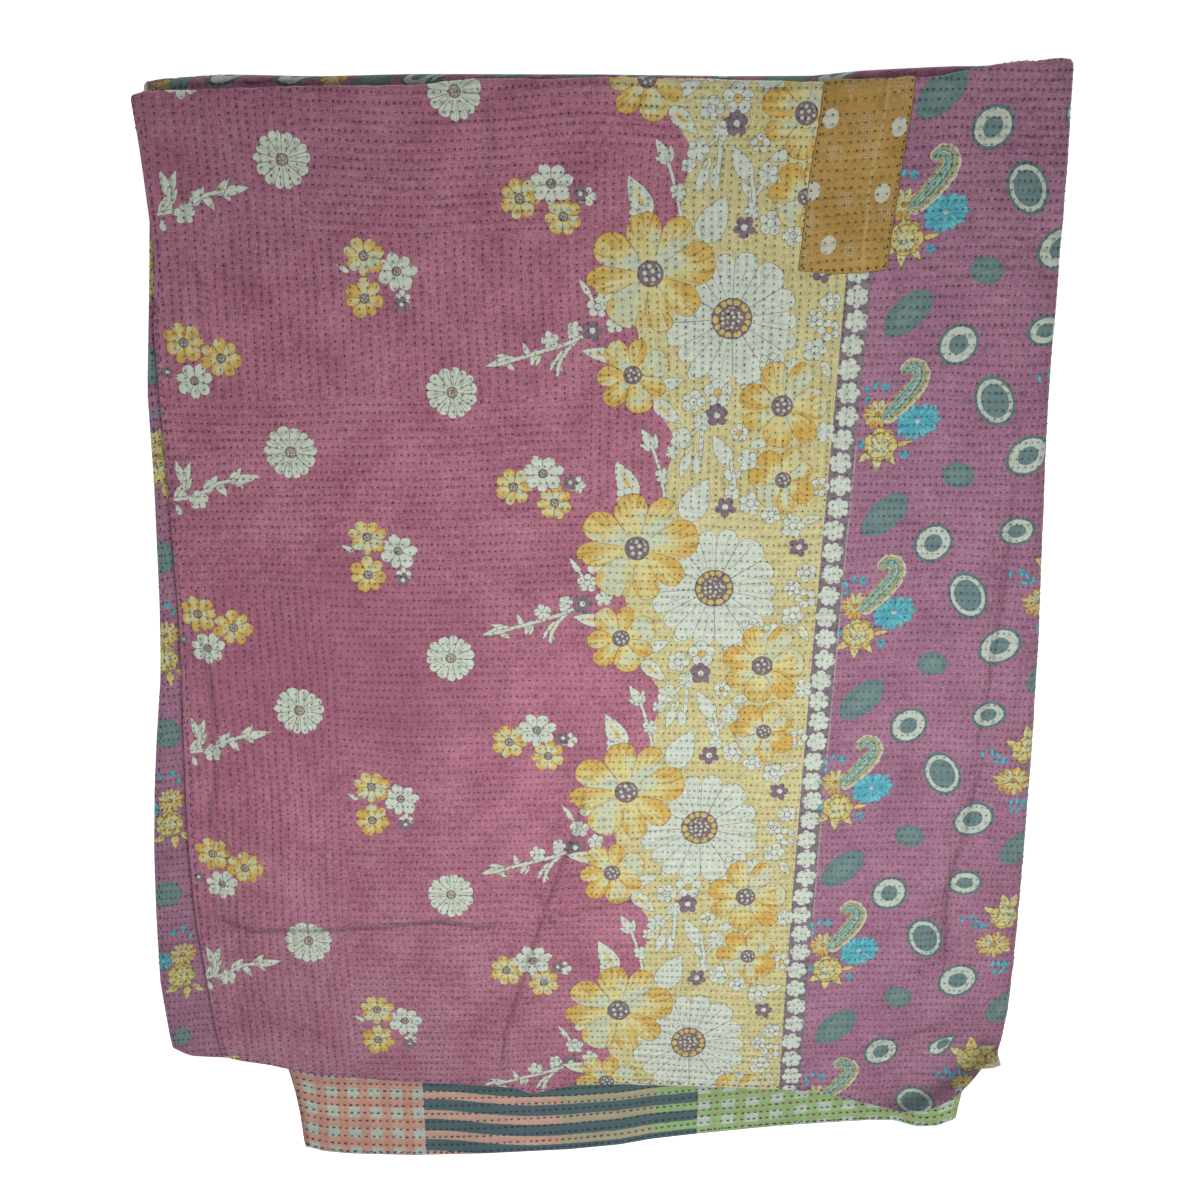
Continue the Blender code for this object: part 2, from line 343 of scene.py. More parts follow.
# The cloth laid flat: as the layout on the front, then on by its own length
# over the folds.
flatX, flatY = layX.copy(), layY.copy()
foldAt = int(np.argmin(abs(acrossLines - (1 - quilt["sideBend"]))))
topAt = int(np.argmin(abs(alongLines - (1 - quilt["topBend"]))))
for i in range(foldAt + 1, len(acrossLines)):
    flatX[i] = flatX[i - 1] + np.linalg.norm(cloth[i] - cloth[i - 1], axis=-1)
for j in range(topAt + 1, len(alongLines)):
    flatY[:, j] = flatY[:, j - 1] + np.linalg.norm(
        cloth[:, j] - cloth[:, j - 1], axis=-1
    )

rim = np.minimum(
    np.minimum(shareS, 2 - shareS) * quilt["across"],
    np.minimum(shareR, 2 - shareR) * quilt["along"],
)
fullness = np.sqrt(1 - np.clip(1 - rim / 2.4, 0, 1) ** 2)

# Small wrinkles: ridges across the rows of stitching, and soft dents.
wrinkleNoise = [
    noiseField(1, (26, 9)), noiseField(2, (9, 24)), noiseField(3, (40, 34)),
    noiseField(4, (15, 13)),
]
flowNoise = noiseField(5, (120, 120))


def wrinkles(x, y):
    upright = stepUp(0.5 + 1.2 * flowNoise(x, y))
    long = mix(wrinkleNoise[0](x, y), wrinkleNoise[1](x, y), upright)
    topPuckers = near(read(topFold["front"], x) - y, 60)
    return (
        0.45 * long + 0.45 * wrinkleNoise[2](x, y) + 0.3 * wrinkleNoise[3](x, y)
        + 1.1 * topPuckers * wrinkleNoise[0](1.3 * y, 1.3 * x)
    )


relief = quilt["wrinkles"] * wrinkles(flatX, flatY) * fullness
onFront = (shareS < 1.02) & (shareR < 1.02)
onStrip = (shareS > 1.93) & (shareR > 0.98)
faceA = cloth + clothNormal * (
    quilt["cloth"] / 2 * fullness + np.where(onFront | onStrip, relief, 0)
)[..., None]
onUnder = (shareS < 0.99) & (shareR > 1.8)
faceB = cloth - clothNormal * (
    quilt["cloth"] / 2 * fullness + np.where(onUnder, 0.8 * relief, 0)
)[..., None]
print("cloth laid out", cloth.shape, "flat width", round(float(np.ptp(flatX))))


def thinOut(lines, long, gaps):
    # every line that is at least the wanted gap past the last one kept;
    # gaps = (share up to which it holds, mm)
    kept = [0]
    for i in range(1, len(lines) - 1):
        want = next(gap for upTo, gap in gaps if lines[i] <= upTo)
        if (lines[i] - lines[kept[-1]]) * long >= want:
            kept.append(i)
    if (lines[-1] - lines[kept[-1]]) * long < 1.0:
        kept.pop()
    return kept + [len(lines) - 1]


backS = thinOut(
    acrossLines, quilt["across"],
    ((0.003, 2.3), (0.985, 11.5), (1.015, 3), (1.9, 36), (1.9962, 10), (2, 1.9)),
)
backR = thinOut(
    alongLines, quilt["along"],
    ((0.003, 2.3), (0.985, 11.5), (1.015, 3), (1.82, 55), (1.9965, 7.5),
     (2, 1.9)),
)

# Every point of the printed face, then the reverse's points inside the rim.
nS, nR = shareS.shape
pointA = np.arange(nS * nR).reshape(nS, nR)
pointB = pointA.copy()
inner = np.array([(i, j) for i in backS[1:-1] for j in backR[1:-1]])
pointB[inner[:, 0], inner[:, 1]] = nS * nR + np.arange(len(inner))
points = np.concatenate([
    faceA.reshape(-1, 3), faceB[inner[:, 0], inner[:, 1]]
]) * mm
points[:, 2] = np.maximum(points[:, 2], 0)
cells = cellCorners(pointA)
reverse = []
for i0, i1 in zip(backS, backS[1:]):
    for j0, j1 in zip(backR, backR[1:]):
        ring = []
        upS, upR = range(i0, i1), range(j0, j1)
        ring += [pointB[i0, j] for j in (upR if i0 == 0 else [j0])]
        ring += [pointB[i, j1] for i in (upS if j1 == nR - 1 else [i0])]
        downR, downS = range(j1, j0, -1), range(i1, i0, -1)
        ring += [pointB[i1, j] for j in (downR if i1 == nS - 1 else [j1])]
        ring += [pointB[i, j0] for i in (downS if j0 == 0 else [i1])]
        reverse.append(ring)
quiltMesh = bpy.data.meshes.new("quiltCloth")
quiltMesh.from_pydata(points.tolist(), [], cells.tolist() + reverse)
quiltMesh.shade_smooth()
quiltMesh.polygons.foreach_set(
    "material_index", np.r_[np.zeros(len(cells)), np.ones(len(reverse))].astype(int)
)
quiltCloth = addObject("quiltCloth", quiltMesh)
triangles = 2 * len(cells) + sum(len(ring) - 2 for ring in reverse)
print("cloth meshed", len(points), "points", triangles, "triangles")


def atPoints(*values, inside=inner.T):
    # values on every point of the upper face, then inside the lower one's rim
    values = np.stack(np.broadcast_arrays(*values), -1).astype(float)
    return np.concatenate([
        values.reshape(-1, values.shape[-1]), values[inside[0], inside[1]]
    ])


def keepVector(owner, name, values, domain="POINT"):
    kind = "FLOAT_VECTOR" if values.shape[-1] == 3 else "FLOAT_COLOR"
    layer = owner.attributes.new(name, kind, domain)
    key = "vector" if kind == "FLOAT_VECTOR" else "color"
    layer.data.foreach_set(key, np.ascontiguousarray(values, np.float32).ravel())


keepVector(quiltMesh, "flat", atPoints(flatX, flatY, rim))


# The print. Each kind of motif is a polar outline: how many petals, how deep
# and how sharp the gaps between them are, the centre's share, a colouring.
motifKinds = {
    "daisy": (14, 0.17, 3.0, 0.20, 0),
    "yellow": (7, 0.30, 2.7, 0.22, 1),
    "whiteCluster": (7, 0.30, 2.0, 0.21, 2),
    "greyBud": (5, 0.36, 2.2, 0.28, 3),
    "smallWhite": (5, 0.34, 2.2, 0.0, 4),
    "ringWhite": (5, 0.32, 2.2, 0.30, 5),
    "ochreWhite": (5, 0.32, 2.2, 0.26, 6),
    "leaf": (2, 0.30, 0.8, 0.0, 7),
    "whiteLeaf": (2, 0.30, 0.8, 0.0, 4),
    "stem": (0, 0.0, 1.0, 0.0, 4),
    "disc": (0, 0.0, 1.0, 0.0, 8),
    "ring": (0, 0.0, 1.0, 0.44, 9),
    "wideRing": (0, 0.0, 1.0, 0.66, 9),
    "cyan": (13, 0.2, 1.3, 0.14, 10),
    "drop": (2, 0.3, 0.8, 0.42, 9),
    "cyanBit": (5, 0.45, 1.4, 0.0, 10),
    "cyanLeaf": (2, 0.30, 0.8, 0.0, 10),
    "ochre": (13, 0.27, 1.4, 0.16, 11),
    "ochreLeaf": (2, 0.30, 0.8, 0.0, 11),
    "rose": (7, 0.12, 1.8, 0.0, 12),
    "stripFlower": (6, 0.26, 2.4, 0.0, 13),
    "paisley": (0, 0.0, 1.0, 0.0, 14),
    "bigDaisy": (15, 0.17, 3.2, 0.29, 15),
    "bigYellow": (8, 0.28, 2.9, 0.195, 1),
}
colourings = [
    # petals, petal tips, centre, outline, outline width in mm, how much of
    # the petals stays white, centre (0 plain, 0.5 dotted, 1 ringed with ovals)
    ((196, 207, 190), (202, 212, 195), (146, 130, 116), (112, 98, 106), 0.35, 0, 0.5),
    ((210, 200, 138), (202, 164, 80), (122, 108, 116), (134, 104, 62), 0.4, 0.42, 0.5),
    ((198, 208, 192), (202, 210, 195), (122, 108, 116), (116, 100, 108), 0.3, 0, 0.5),
    ((128, 112, 122), (120, 104, 116), (200, 208, 194), (112, 96, 106), 0.2, 0, 0),
    ((198, 208, 192), (202, 211, 195), (198, 208, 192), (120, 104, 112), 0.35, 0, 0),
    ((198, 208, 192), (202, 211, 195), (204, 212, 196), (120, 104, 112), 0.45, 0, 0),
    ((198, 208, 192), (202, 211, 195), (210, 180, 100), (120, 104, 112), 0.45, 0, 0),
    ((200, 209, 190), (208, 172, 88), (200, 210, 190), (116, 100, 108), 0.4, 0, 0),
    ((112, 137, 135), (102, 127, 127), (88, 116, 118), (100, 124, 124), 1.1, 0, 0),
    ((186, 196, 182), (192, 200, 186), (106, 130, 130), (96, 120, 122), 2.6, 0, 0),
    ((84, 168, 184), (112, 188, 196), (176, 192, 184), (64, 126, 142), 0.45, 0, 0),
    ((210, 194, 122), (204, 162, 84), (190, 140, 60), (116, 104, 70), 0.5, 0.42, 0),
    ((212, 198, 126), (206, 180, 100), (190, 140, 60), (104, 112, 84), 0.5, 0.38, 0),
    ((200, 210, 196), (196, 206, 192), (170, 176, 170), (178, 186, 176), 0.1, 0, 0),
    ((194, 206, 178), (120, 186, 182), (70, 150, 160), (100, 110, 90), 0.5, 0, 0),
    ((196, 206, 190), (202, 211, 196), (122, 106, 110), (120, 106, 113), 0.45, 0, 1),
]


def drift(y):
    # how far the flower print leans to the right at y
    return 24 * (np.clip(y + 493, 0, 1200) / 769) ** 1.3


def stripAt(y):
    # the middle of the strip of small flowers, left of the paisley panel
    return 185.7 + drift(y)


def panelDrift(y):
    # how far the paisley panel's print leans to the right at y
    return np.interp(
        y, (-600, -425, -262, -91, 77, 246, 415, 460),
        (3, 2, 0, 8, 18, 26, 40, 44),
    )


# One repeat of each part of the print: kind, x, y, radius in mm, turn in
# degrees, narrowness. Those listed first lie on top.
bandRepeat = [
    ("bigYellow", 31.8, 47.3, 54, 11, 1),
    ("yellow", 18.4, -35.3, 34.4, 26, 1),
    ("bigDaisy", 98.9, 11, 57.2, 0, 1),
    ("yellow", 151.6, 170.9, 40.3, 5, 1),
    ("yellow", 154.9, 107.5, 30.5, 21, 1),
    ("greyBud", 97.6, 163.3, 10.3, 21, 1),
    ("greyBud", 106.5, 83.8, 10.5, 52, 1),
    ("greyBud", 171, 48.2, 9.7, 0, 1),
    ("greyBud", 87.6, -67.4, 10, 31, 1),
    ("ringWhite", 77.4, 174.3, 11.1, 0, 1),
    ("ochreWhite", 98, 181.8, 12.8, 19, 1),
    ("smallWhite", 85.2, 157.4, 8.6, 0, 1),
    ("smallWhite", 123.9, 124.8, 10.4, 31, 1),
    ("ringWhite", 127.7, 87.3, 11.4, 11, 1),
    ("ringWhite", 145.9, 77.6, 9.7, 42, 1),
    ("ringWhite", 165.1, 67, 11.5, 0, 1),
    ("smallWhite", 112.1, 96.1, 7.9, 21, 1),
    ("smallWhite", 147.4, 127.4, 6.9, 0, 1),
    ("ochreWhite", 116.5, 148, 8.6, 16, 1),
    ("smallWhite", 188.5, 148.8, 9.5, 37, 1),
    ("ochreWhite", 186.6, 101.3, 9.6, 0, 1),
    ("ringWhite", 179, 24.7, 9.8, 37, 1),
    ("ringWhite", 166.6, 11, 8.9, 37, 1),
    ("ochreWhite", 179.1, 1.8, 10.7, 37, 1),
    ("ringWhite", 176.9, 217.5, 11, 0, 1),
    ("ringWhite", 140.3, 206.8, 10.2, 0, 1),
    ("smallWhite", 158.6, 202.7, 9.4, 0, 1),
    ("leaf", 56.7, 165, 14.6, -42, 0.5),
    ("leaf", 21.2, 108.3, 18.4, 117, 0.52),
    ("smallWhite", 22.1, 92.6, 10.5, 0, 1),
    ("whiteLeaf", 82.5, 91, 20.5, 62, 0.62),
    ("leaf", 187.6, 200.2, 8.5, -61, 0.5),
    ("leaf", 181.1, 73.2, 8.8, 16, 0.5),
    ("whiteLeaf", 101.7, 134.3, 14.9, 121, 0.5),
    ("whiteLeaf", 71, 120, 11, 250, 0.42),
    ("whiteLeaf", 127, 190, 12, 200, 0.45),
    ("leaf", 134, 104, 11, 300, 0.45),
    ("whiteLeaf", 136, 140, 10, 20, 0.45),
    ("whiteLeaf", 60, 190, 11, 20, 0.5),
    ("whiteLeaf", 107.4, 113.5, 7.8, 128, 0.5),
    ("leaf", 75.7, 133.4, 6.1, 61, 0.6),
    ("whiteLeaf", 81.8, 123.1, 10.4, 88, 0.4),
    ("whiteLeaf", 39.4, 143.7, 10.4, 121, 0.45),
    ("whiteLeaf", 46.2, 141.1, 6.9, 85, 0.5),
    ("whiteLeaf", 38.7, 136, 6.1, 159, 0.5),
    ("smallWhite", 53.3, 110.9, 7.8, 0, 1),
    ("smallWhite", 67.9, 143.7, 10.4, 0, 1),
    ("smallWhite", 60.6, 131.7, 6.9, 0, 1),
    ("leaf", -0.8, 214.2, 15.3, 169, 0.42),
    ("leaf", 76.1, 199.4, 6.8, 99, 0.6),
    ("leaf", 0, 33.8, 12.4, 37, 0.5),
]
fieldRepeat = [
    ("daisy", -260, 131.7, 23.4, 0, 1),
    ("daisy", -131.4, -54.1, 22.7, 8, 1),
    ("whiteCluster", -56.5, -123.3, 18.5, 11, 1),
    ("yellow", -81.8, -135.1, 18.1, 0, 1),
    ("yellow", -46.9, -148.9, 17.2, 31, 1),
    ("greyBud", -33.2, -131.2, 7.4, 0, 1),
    ("smallWhite", -27.9, -133.1, 8.3, 0, 1),
    ("yellow", -199.8, 57.1, 17.7, 11, 1),
    ("yellow", -200.7, 22.9, 17.8, 42, 1),
    ("whiteCluster", -173.8, 44.6, 17.7, 0, 1),
    ("greyBud", -170.6, 18.3, 7.1, 0, 1),
    ("smallWhite", -169.5, 22.9, 8, 21, 1),
    ("whiteLeaf", -217.5, 47.3, 6.2, 149, 0.4),
    ("yellow", -350.9, -12.9, 18, 0, 1),
    ("yellow", -321.4, -25.9, 18, 42, 1),
    ("whiteCluster", -344.8, -44.7, 17.2, 11, 1),
    ("greyBud", -366.2, -37.1, 6.3, 11, 1),
    ("greyBud", -15.2, -3.2, 9.9, 0, 1),
    ("ringWhite", -10.9, 16.2, 9.9, 16, 1),
    ("smallWhite", -29.9, -1.6, 7.2, 0, 1),
    ("smallWhite", 3.2, 2, 9, 21, 1),
    ("smallWhite", -50, -11.4, 8.6, 31, 1),
    ("smallWhite", -341.7, 89.8, 9.4, 21, 1),
]
panelRepeat = [
    ("disc", 243.2, 76.7, 24.2, 44, 0.55),
    ("disc", 302.8, 111.8, 13.4, -12, 0.82),
    ("ring", 286, 51.8, 18.1, 52, 0.88),
    ("wideRing", 327.7, 175.9, 22, 115, 0.73),
    ("ring", 359.5, 129.1, 20, 34, 0.8),
    ("ring", 356.2, 63.4, 16, 15, 0.78),
    ("cyan", 265.5, 155.5, 21.5, 24, 0.74),
    ("rose", 235.7, 135.4, 15.2, 0, 0.98),
    ("ochre", 231.6, 161.3, 14.6, 50, 0.9),
    ("ochreLeaf", 222.6, 124.5, 7.4, -145, 0.5),
    ("ochreLeaf", 233.4, 119.6, 7.8, -90, 0.55),
    ("ochreLeaf", 244.8, 123.2, 7.4, -50, 0.5),
    ("ochreLeaf", 256.3, 136.9, 6.9, 16, 0.35),
    ("cyanBit", 256.1, 126.5, 5.2, 0, 1),
    ("cyanBit", 236.5, 184.3, 5.1, 21, 1),
    ("cyanBit", 220.2, 136, 4.3, 0, 1),
    ("cyanLeaf", 221.7, 182.7, 4.3, 109, 0.5),
    ("cyanLeaf", 228.9, 186.8, 4.3, 71, 0.5),
    ("cyanLeaf", 223, 174.3, 3.4, 31, 0.6),
]
bandStems = [
    ([(43.7, 136.9), (48.9, 121.4), (56.1, 90.0)], 1.6),
    ([(110.5, 123.1), (113.4, 109.2), (113.7, 98.7)], 2),
    ([(85.4, 150.5), (84.9, 135.1), (84.2, 126.5)], 2),
    ([(60, 131), (70, 141), (82, 152)], 1.8),
    ([(124, 124), (117, 112), (110, 104)], 1.8),
    ([(140, 206), (128, 196), (118, 186)], 1.8),
    ([(165, 67), (160, 82), (146, 78)], 1.8),
]
fieldStems = [
    ([(-92.7, -30.8), (-71.4, -24.5), (-50.1, -18.2), (-33.2, -12.8),
      (-20.4, -6.5)], 1.9),
    ([(-28.9, -12.1), (-37, -20.4), (-42.9, -31.3), (-44, -39.2)], 1.8),
    ([(-17.1, 25.6), (-13, 15.7)], 1.7),
    ([(-361.7, 89.8), (-349.1, 92), (-337.3, 96.5), (-324.2, 104.2),
      (-309.6, 107.4)], 1.9),
    ([(-359.7, 90.9), (-353.2, 98.7), (-351.2, 109.6)], 1.8),
]
# leaves from (x, y) at the stem to (x, y) at the tip
fieldLeaves = [
    ("leaf", -78.8, -25.6, -104.3, -32.6, 0.3),
    ("whiteLeaf", -82, -25.6, -96.4, -22.7, 0.36),
    ("leaf", -88.5, -29, -78, -36.2, 0.42),
    ("whiteLeaf", -67.6, -24, -72.7, -11.4, 0.4),
    ("leaf", -60.7, -18.8, -66.2, -33.1, 0.42),
    ("whiteLeaf", -58.2, -23.4, -62, -33.1, 0.4),
    ("whiteLeaf", -28.9, -13.7, -34.7, 2.8, 0.5),
    ("whiteLeaf", -17.1, 25, -26.9, 39.4, 0.34),
    ("leaf", -36.4, -20, -48.1, -29, 0.42),
    ("whiteLeaf", -43.9, -29, -39.7, -37.6, 0.36),
    ("whiteLeaf", -45.6, -26.7, -50.4, -37.1, 0.36),
    ("whiteLeaf", -351.9, 103.1, -358.2, 124.9, 0.36),
    ("whiteLeaf", -353.8, 103.1, -345.1, 123.8, 0.36),
    ("leaf", -360.8, 89.8, -344.6, 109.6, 0.42),
    ("whiteLeaf", -335.4, 96.5, -323.5, 111.8, 0.5),
    ("leaf", -322.4, 103.1, -336.2, 107.4, 0.45),
    ("whiteLeaf", -325, 105.2, -316.7, 92, 0.5),
    ("leaf", -313.7, 104.2, -303, 118.4, 0.45),
    ("whiteLeaf", -311.6, 106.3, -286.6, 110.7, 0.34),
    ("leaf", -309.6, 108.5, -302.8, 98.7, 0.5),
    ("whiteLeaf", -358.3, 76.5, -360.2, 86.5, 0.6),
]
paisleySpine = [
    (240.9, 160), (248.8, 168.5), (256.8, 177.7), (263.3, 186.8), (266.2, 194.5),
    (263.5, 201), (257.5, 203), (253, 199),
]
paisleyHalf = (6.5, 7.8, 8.4, 8.2, 7.4, 6.6, 5.8, 5)
# the bunch on the panels beside the first, placed like the rows above
besideBunch = [
    ("ochre", 233.3, 169, 20, 0, 0.74),
    ("rose", 242, 199, 14, 0, 1),
    ("ochreLeaf", 228, 206.5, 6.5, 150, 0.55),
    ("ochreLeaf", 242, 216, 8.5, 105, 0.6),
    ("ochreLeaf", 251, 216, 8.5, 72, 0.6),
    ("cyanBit", 222.5, 189, 5, 0, 1),
    ("cyanLeaf", 203.5, 195.8, 3.8, 100, 0.5),
    ("cyanLeaf", 212, 198, 4.4, 110, 0.5),
    ("cyanLeaf", 217, 195, 4, 120, 0.5),
    ("cyanLeaf", 215, 188, 3.8, 170, 0.5),
    ("cyanBit", 245, 146.3, 5.5, 20, 1),
    ("cyanLeaf", 232.7, 146.3, 4.2, 250, 0.5),
    ("cyanLeaf", 238.5, 147.5, 4.4, 280, 0.5),
    ("cyanLeaf", 234.5, 138.3, 3.8, 260, 0.5),
    ("cyanLeaf", 240, 138.7, 3.8, 240, 0.5),
]
# one bunch of the panel's flowers, from its middle: kind, x, y, radius, turn,
# narrowness
bunch = [
    ("cyanBit", -4, 36, 4.6, 0, 1),
    ("cyanBit", 7, 39, 5, 40, 1),
    ("cyanLeaf", 13, 34, 4, 60, 0.5),
    ("rose", 0, -12, 14.5, 0, 0.95),
    ("ochre", 3, 12, 14.5, 21, 1),
    ("cyan", -17, 2, 11, 0, 0.9),
    ("ochreLeaf", -12, -28, 7.5, 200, 0.55),
    ("ochreLeaf", 4, -31, 7.5, 270, 0.55),
    ("ochreLeaf", 15, -25, 7, 320, 0.5),
]
# (x, y) in the layout of what shows of the leaf under the front: bunches and
# discs at its free left edge, and bits above the top fold
underBunches = [
    (-363.7, 283.8), (-375.9, 124.8), (-387.4, -48.4), (-398.4, -211.2),
    (-402.4, -374.3),
]
underBits = [
    ("disc", -375, 202.7, 17, 90, 0.62),
    ("disc", -381.2, 34.7, 15, 90, 0.85),
    ("disc", -391.8, -132.1, 15, 90, 0.9),
    ("disc", -408.5, -297.6, 15.5, 0, 0.9),
    ("disc", -408.9, -455, 9.5, 0, 1),
    ("ring", -237.6, 430.3, 15, 0, 0.9),
    ("ochre", -209.6, 430.3, 12, 0, 1),
    ("ring", -143.6, 431.8, 14, 0, 0.9),
    ("disc", -79.9, 432.5, 16, 0, 0.9),
    ("disc", 149.1, 428.9, 18, 0, 0.9),
    ("ochre", -344.9, 420, 9, 0, 1),
]
# where the hem turns up at the corner the panel's print is its own
cornerBits = [
    ("wideRing", 309.8, -522.2, 22, -40, 0.78),
    ("drop", 331.6, -452.5, 16.5, 45, 0.6),
    ("cyanLeaf", 330, -487, 4.5, 60, 0.5),
    ("cyanLeaf", 337, -484, 4.5, 100, 0.5),
    ("cyanBit", 343, -491, 5, 0, 1),
    ("rose", 359.6, -470, 15, 0, 1),
    ("ochre", 354, -497, 14, 20, 0.8),
    ("ochreLeaf", 359, -452, 9, 100, 0.65),
    ("ochreLeaf", 345, -461, 8, 150, 0.6),
    ("ochreLeaf", 374, -459, 10, 25, 0.6),
    ("ochre", 384, -479, 14, 0, 1),
    ("cyanLeaf", 333, -491, 4, 150, 0.5),
]

printLook = {
    # mm from one repeat to the next, up the cloth and across it
    "fieldRepeat": 236.5,
    "bandRepeat": 232.0,
    "panelRepeat": 170.5,
    "bunchRepeat": 169.6,
    "bunchRaise": 2.6,  # of the bunches on the first panel
    "discShift": (4, 26),  # of the discs and rings on the other panels
    "lowestCyan": -500,  # no cyan bloom lies below
    "panelAcross": 159.0,
    "bandShift": -14,  # of the band's scalloped left edge
    "stripFlowers": (3.7, 19.8, 9.9),  # the first, the gap, and their radius
    "ownCorner": (285, -425),  # right of and below here lie the cornerBits
    "ownStrip": (1085, 400),  # right of and above here lie the underBunches
    # lit and shaded threads of each part of the ground
    "rose": ((184, 124, 142), (150, 88, 110)),
    "band": ((206, 200, 150), (190, 180, 126)),
    "strip": ((136, 122, 130), (118, 104, 112)),
    "mauve": ((170, 124, 147), (142, 96, 121)),
    "worn": (168, 138, 152),  # where sun and washing have greyed the rose
    "mauver": (166, 122, 146),
    "deep": (158, 98, 118),
    "seam": (176, 170, 160),
    "white": (190, 200, 176),  # of the petals
    "relief": 1.0,
    "roughness": 0.93,
}
bandEdge = [
    (-96, 58), (-82, 55), (-60, 39), (-36, 22), (-4, 24), (10, 20), (47, 29),
    (84, 47), (100, 52), (116, 53), (133, 59), (136, 58),
]

# along this line lies painted shade, inside the turned-up hem
hemShadeLine = [(300, -532), (325, -515), (348, -496), (366, -474), (376, -462)]
# (points, sharpness) of the hard creases pressed into the front
sharpCreases = [
    ([(-372, -315), (-330, -331), (-264, -331), (-200, -326), (-152, -320),
      (-118, -325), (-84, -322)], 1.0),
    ([(-14, -165), (-19, -215), (-33, -250), (-50, -300), (-64, -346),
      (-78, -395), (-92, -440), (-98, -500)], 1.0),
    ([(-58, -300), (-30, -312), (10, -300), (40, -296)], 0.7),
    ([(347, -150), (341, -183), (336, -229), (329, -256), (324, -286), (326, -329),
      (328, -383)], 0.9),
    ([(-352, -30), (-346, -100), (-350, -170), (-362, -230)], 0.7),
    ([(352, 120), (350, 20), (345, -80), (338, -150)], 0.6),
    ([(-336, 390), (-330, 300), (-322, 200)], 0.5),
    ([(-92, 418), (-84, 380), (-90, 345)], 0.5),
    ([(58, 400), (66, 360), (60, 330)], 0.4),
    ([(228, -480), (262, -452), (300, -440), (340, -430)], 0.6),
    ([(-300, 60), (-240, 48), (-190, 56)], 0.35),
    ([(-280, -240), (-220, -250), (-150, -244)], 0.4),
    ([(130, -60), (122, -130), (132, -200)], 0.35),
]

# Places of every motif on the flat cloth, those on top first.
motifs = []
repeats = range(-4, 9)  # from below the hem to past the top fold
cornerFrom, cornerBelow = printLook["ownCorner"]
stripFrom, stripAbove = printLook["ownStrip"]


def place(kind, x, y, radius, turn=0.0, narrow=1.0, spine=None):
    motifs.append((kind, x, y, radius, math.radians(turn), narrow, spine))


def repeated(rows, pitch, lean, across=(0,), stems=()):
    for n in repeats:
        for shift in across:
            for line, half in stems:
                moved = [
                    (x + shift + lean(y + n * pitch) - lean(y), y + n * pitch)
                    for x, y in line
                ]
                place("stem", *moved[0], half, spine=moved)
            for kind, x, y, radius, turn, narrow in rows:
                up = y + n * pitch
                to = x + shift + lean(up) - lean(y)
                atCorner = shift == 0 and to > cornerFrom and up < cornerBelow
                inStrip = to >= stripFrom and up >= stripAbove
                pastHem = kind == "cyan" and up < printLook["lowestCyan"]
                if not atCorner and not inStrip and not pastHem:
                    place(kind, to, up, radius, turn, narrow)


def fromStem(rows):
    # leaves given from stem to tip, as rows like the others
    return [
        (kind, (x + tipX) / 2, (y + tipY) / 2, math.hypot(tipX - x, tipY - y) / 2,
         math.degrees(math.atan2(tipY - y, tipX - x)), narrow)
        for kind, x, y, tipX, tipY, narrow in rows
    ]


def isLeaf(row):
    return "leaf" in row[0].lower()


def byKind(rows):
    # blooms lie over leaves
    return sorted(rows, key=isLeaf)


# what shows of the leaf under the front lies turned half round
hiddenUnder = (shareS > 1.02) & (shareR > 1.0)
underAt = np.argwhere(hiddenUnder)
underLay = np.stack([layX[hiddenUnder], layY[hiddenUnder]], -1)


def placeUnder(kind, x, y, radius, turn, narrow):
    gap = np.hypot(underLay[:, 0] - x, underLay[:, 1] - y)
    i, j = underAt[int(np.argmin(gap))]
    place(kind, flatX[i, j] - (x - layX[i, j]), flatY[i, j] - (y - layY[i, j]),
          radius, turn + 180, narrow)


for x, y in underBunches:
    for kind, dx, dy, radius, turn, narrow in bunch:
        placeUnder(kind, x + dx, y + dy, radius, turn, narrow)
for row in underBits:
    placeUnder(*row)
for row in cornerBits:
    place(*row)

nextPanels = [printLook["panelAcross"] * k for k in range(7)]
for n in repeats:
    for shift in nextPanels[:1] + nextPanels[2:]:
        up = n * printLook["bunchRepeat"]
        spine = [
            (x + shift + panelDrift(y + up) - panelDrift(y),
             y + up + printLook["bunchRaise"])
            for x, y in paisleySpine
        ]
        if spine[0][0] < stripFrom or spine[0][1] < stripAbove - 20:
            place("paisley", *spine[0], paisleyHalf, spine=spine)
rounds = [row for row in panelRepeat if row[0] in ("disc", "ring", "wideRing")]
bunches = [
    (kind, x, y + printLook["bunchRaise"], *rest)
    for kind, x, y, *rest in panelRepeat if (kind, x, y, *rest) not in rounds
]
repeated(byKind(bunches), printLook["bunchRepeat"], panelDrift)
pitch = printLook["panelRepeat"]
repeated(rounds, pitch, panelDrift)
moveX, moveY = printLook["discShift"]
raised = [(kind, x + moveX, y + moveY, *rest) for kind, x, y, *rest in rounds]
repeated(byKind(besideBunch) + raised, pitch, panelDrift, nextPanels[1:])
first, gap, radius = printLook["stripFlowers"]
for n in range(-30, 80):
    y = first + n * gap
    place("stripFlower", stripAt(y) + 1.2 * math.sin(n * 1.7), y, radius, 7 * n)
for rows, stems, pitch in (
    (bandRepeat, bandStems, printLook["bandRepeat"]),
    (fieldRepeat + fromStem(fieldLeaves), fieldStems, printLook["fieldRepeat"]),
):
    repeated([row for row in rows if not isLeaf(row)], pitch, drift)
    repeated([row for row in rows if isLeaf(row)], pitch, drift, stems=stems)
print("motifs placed", len(motifs))


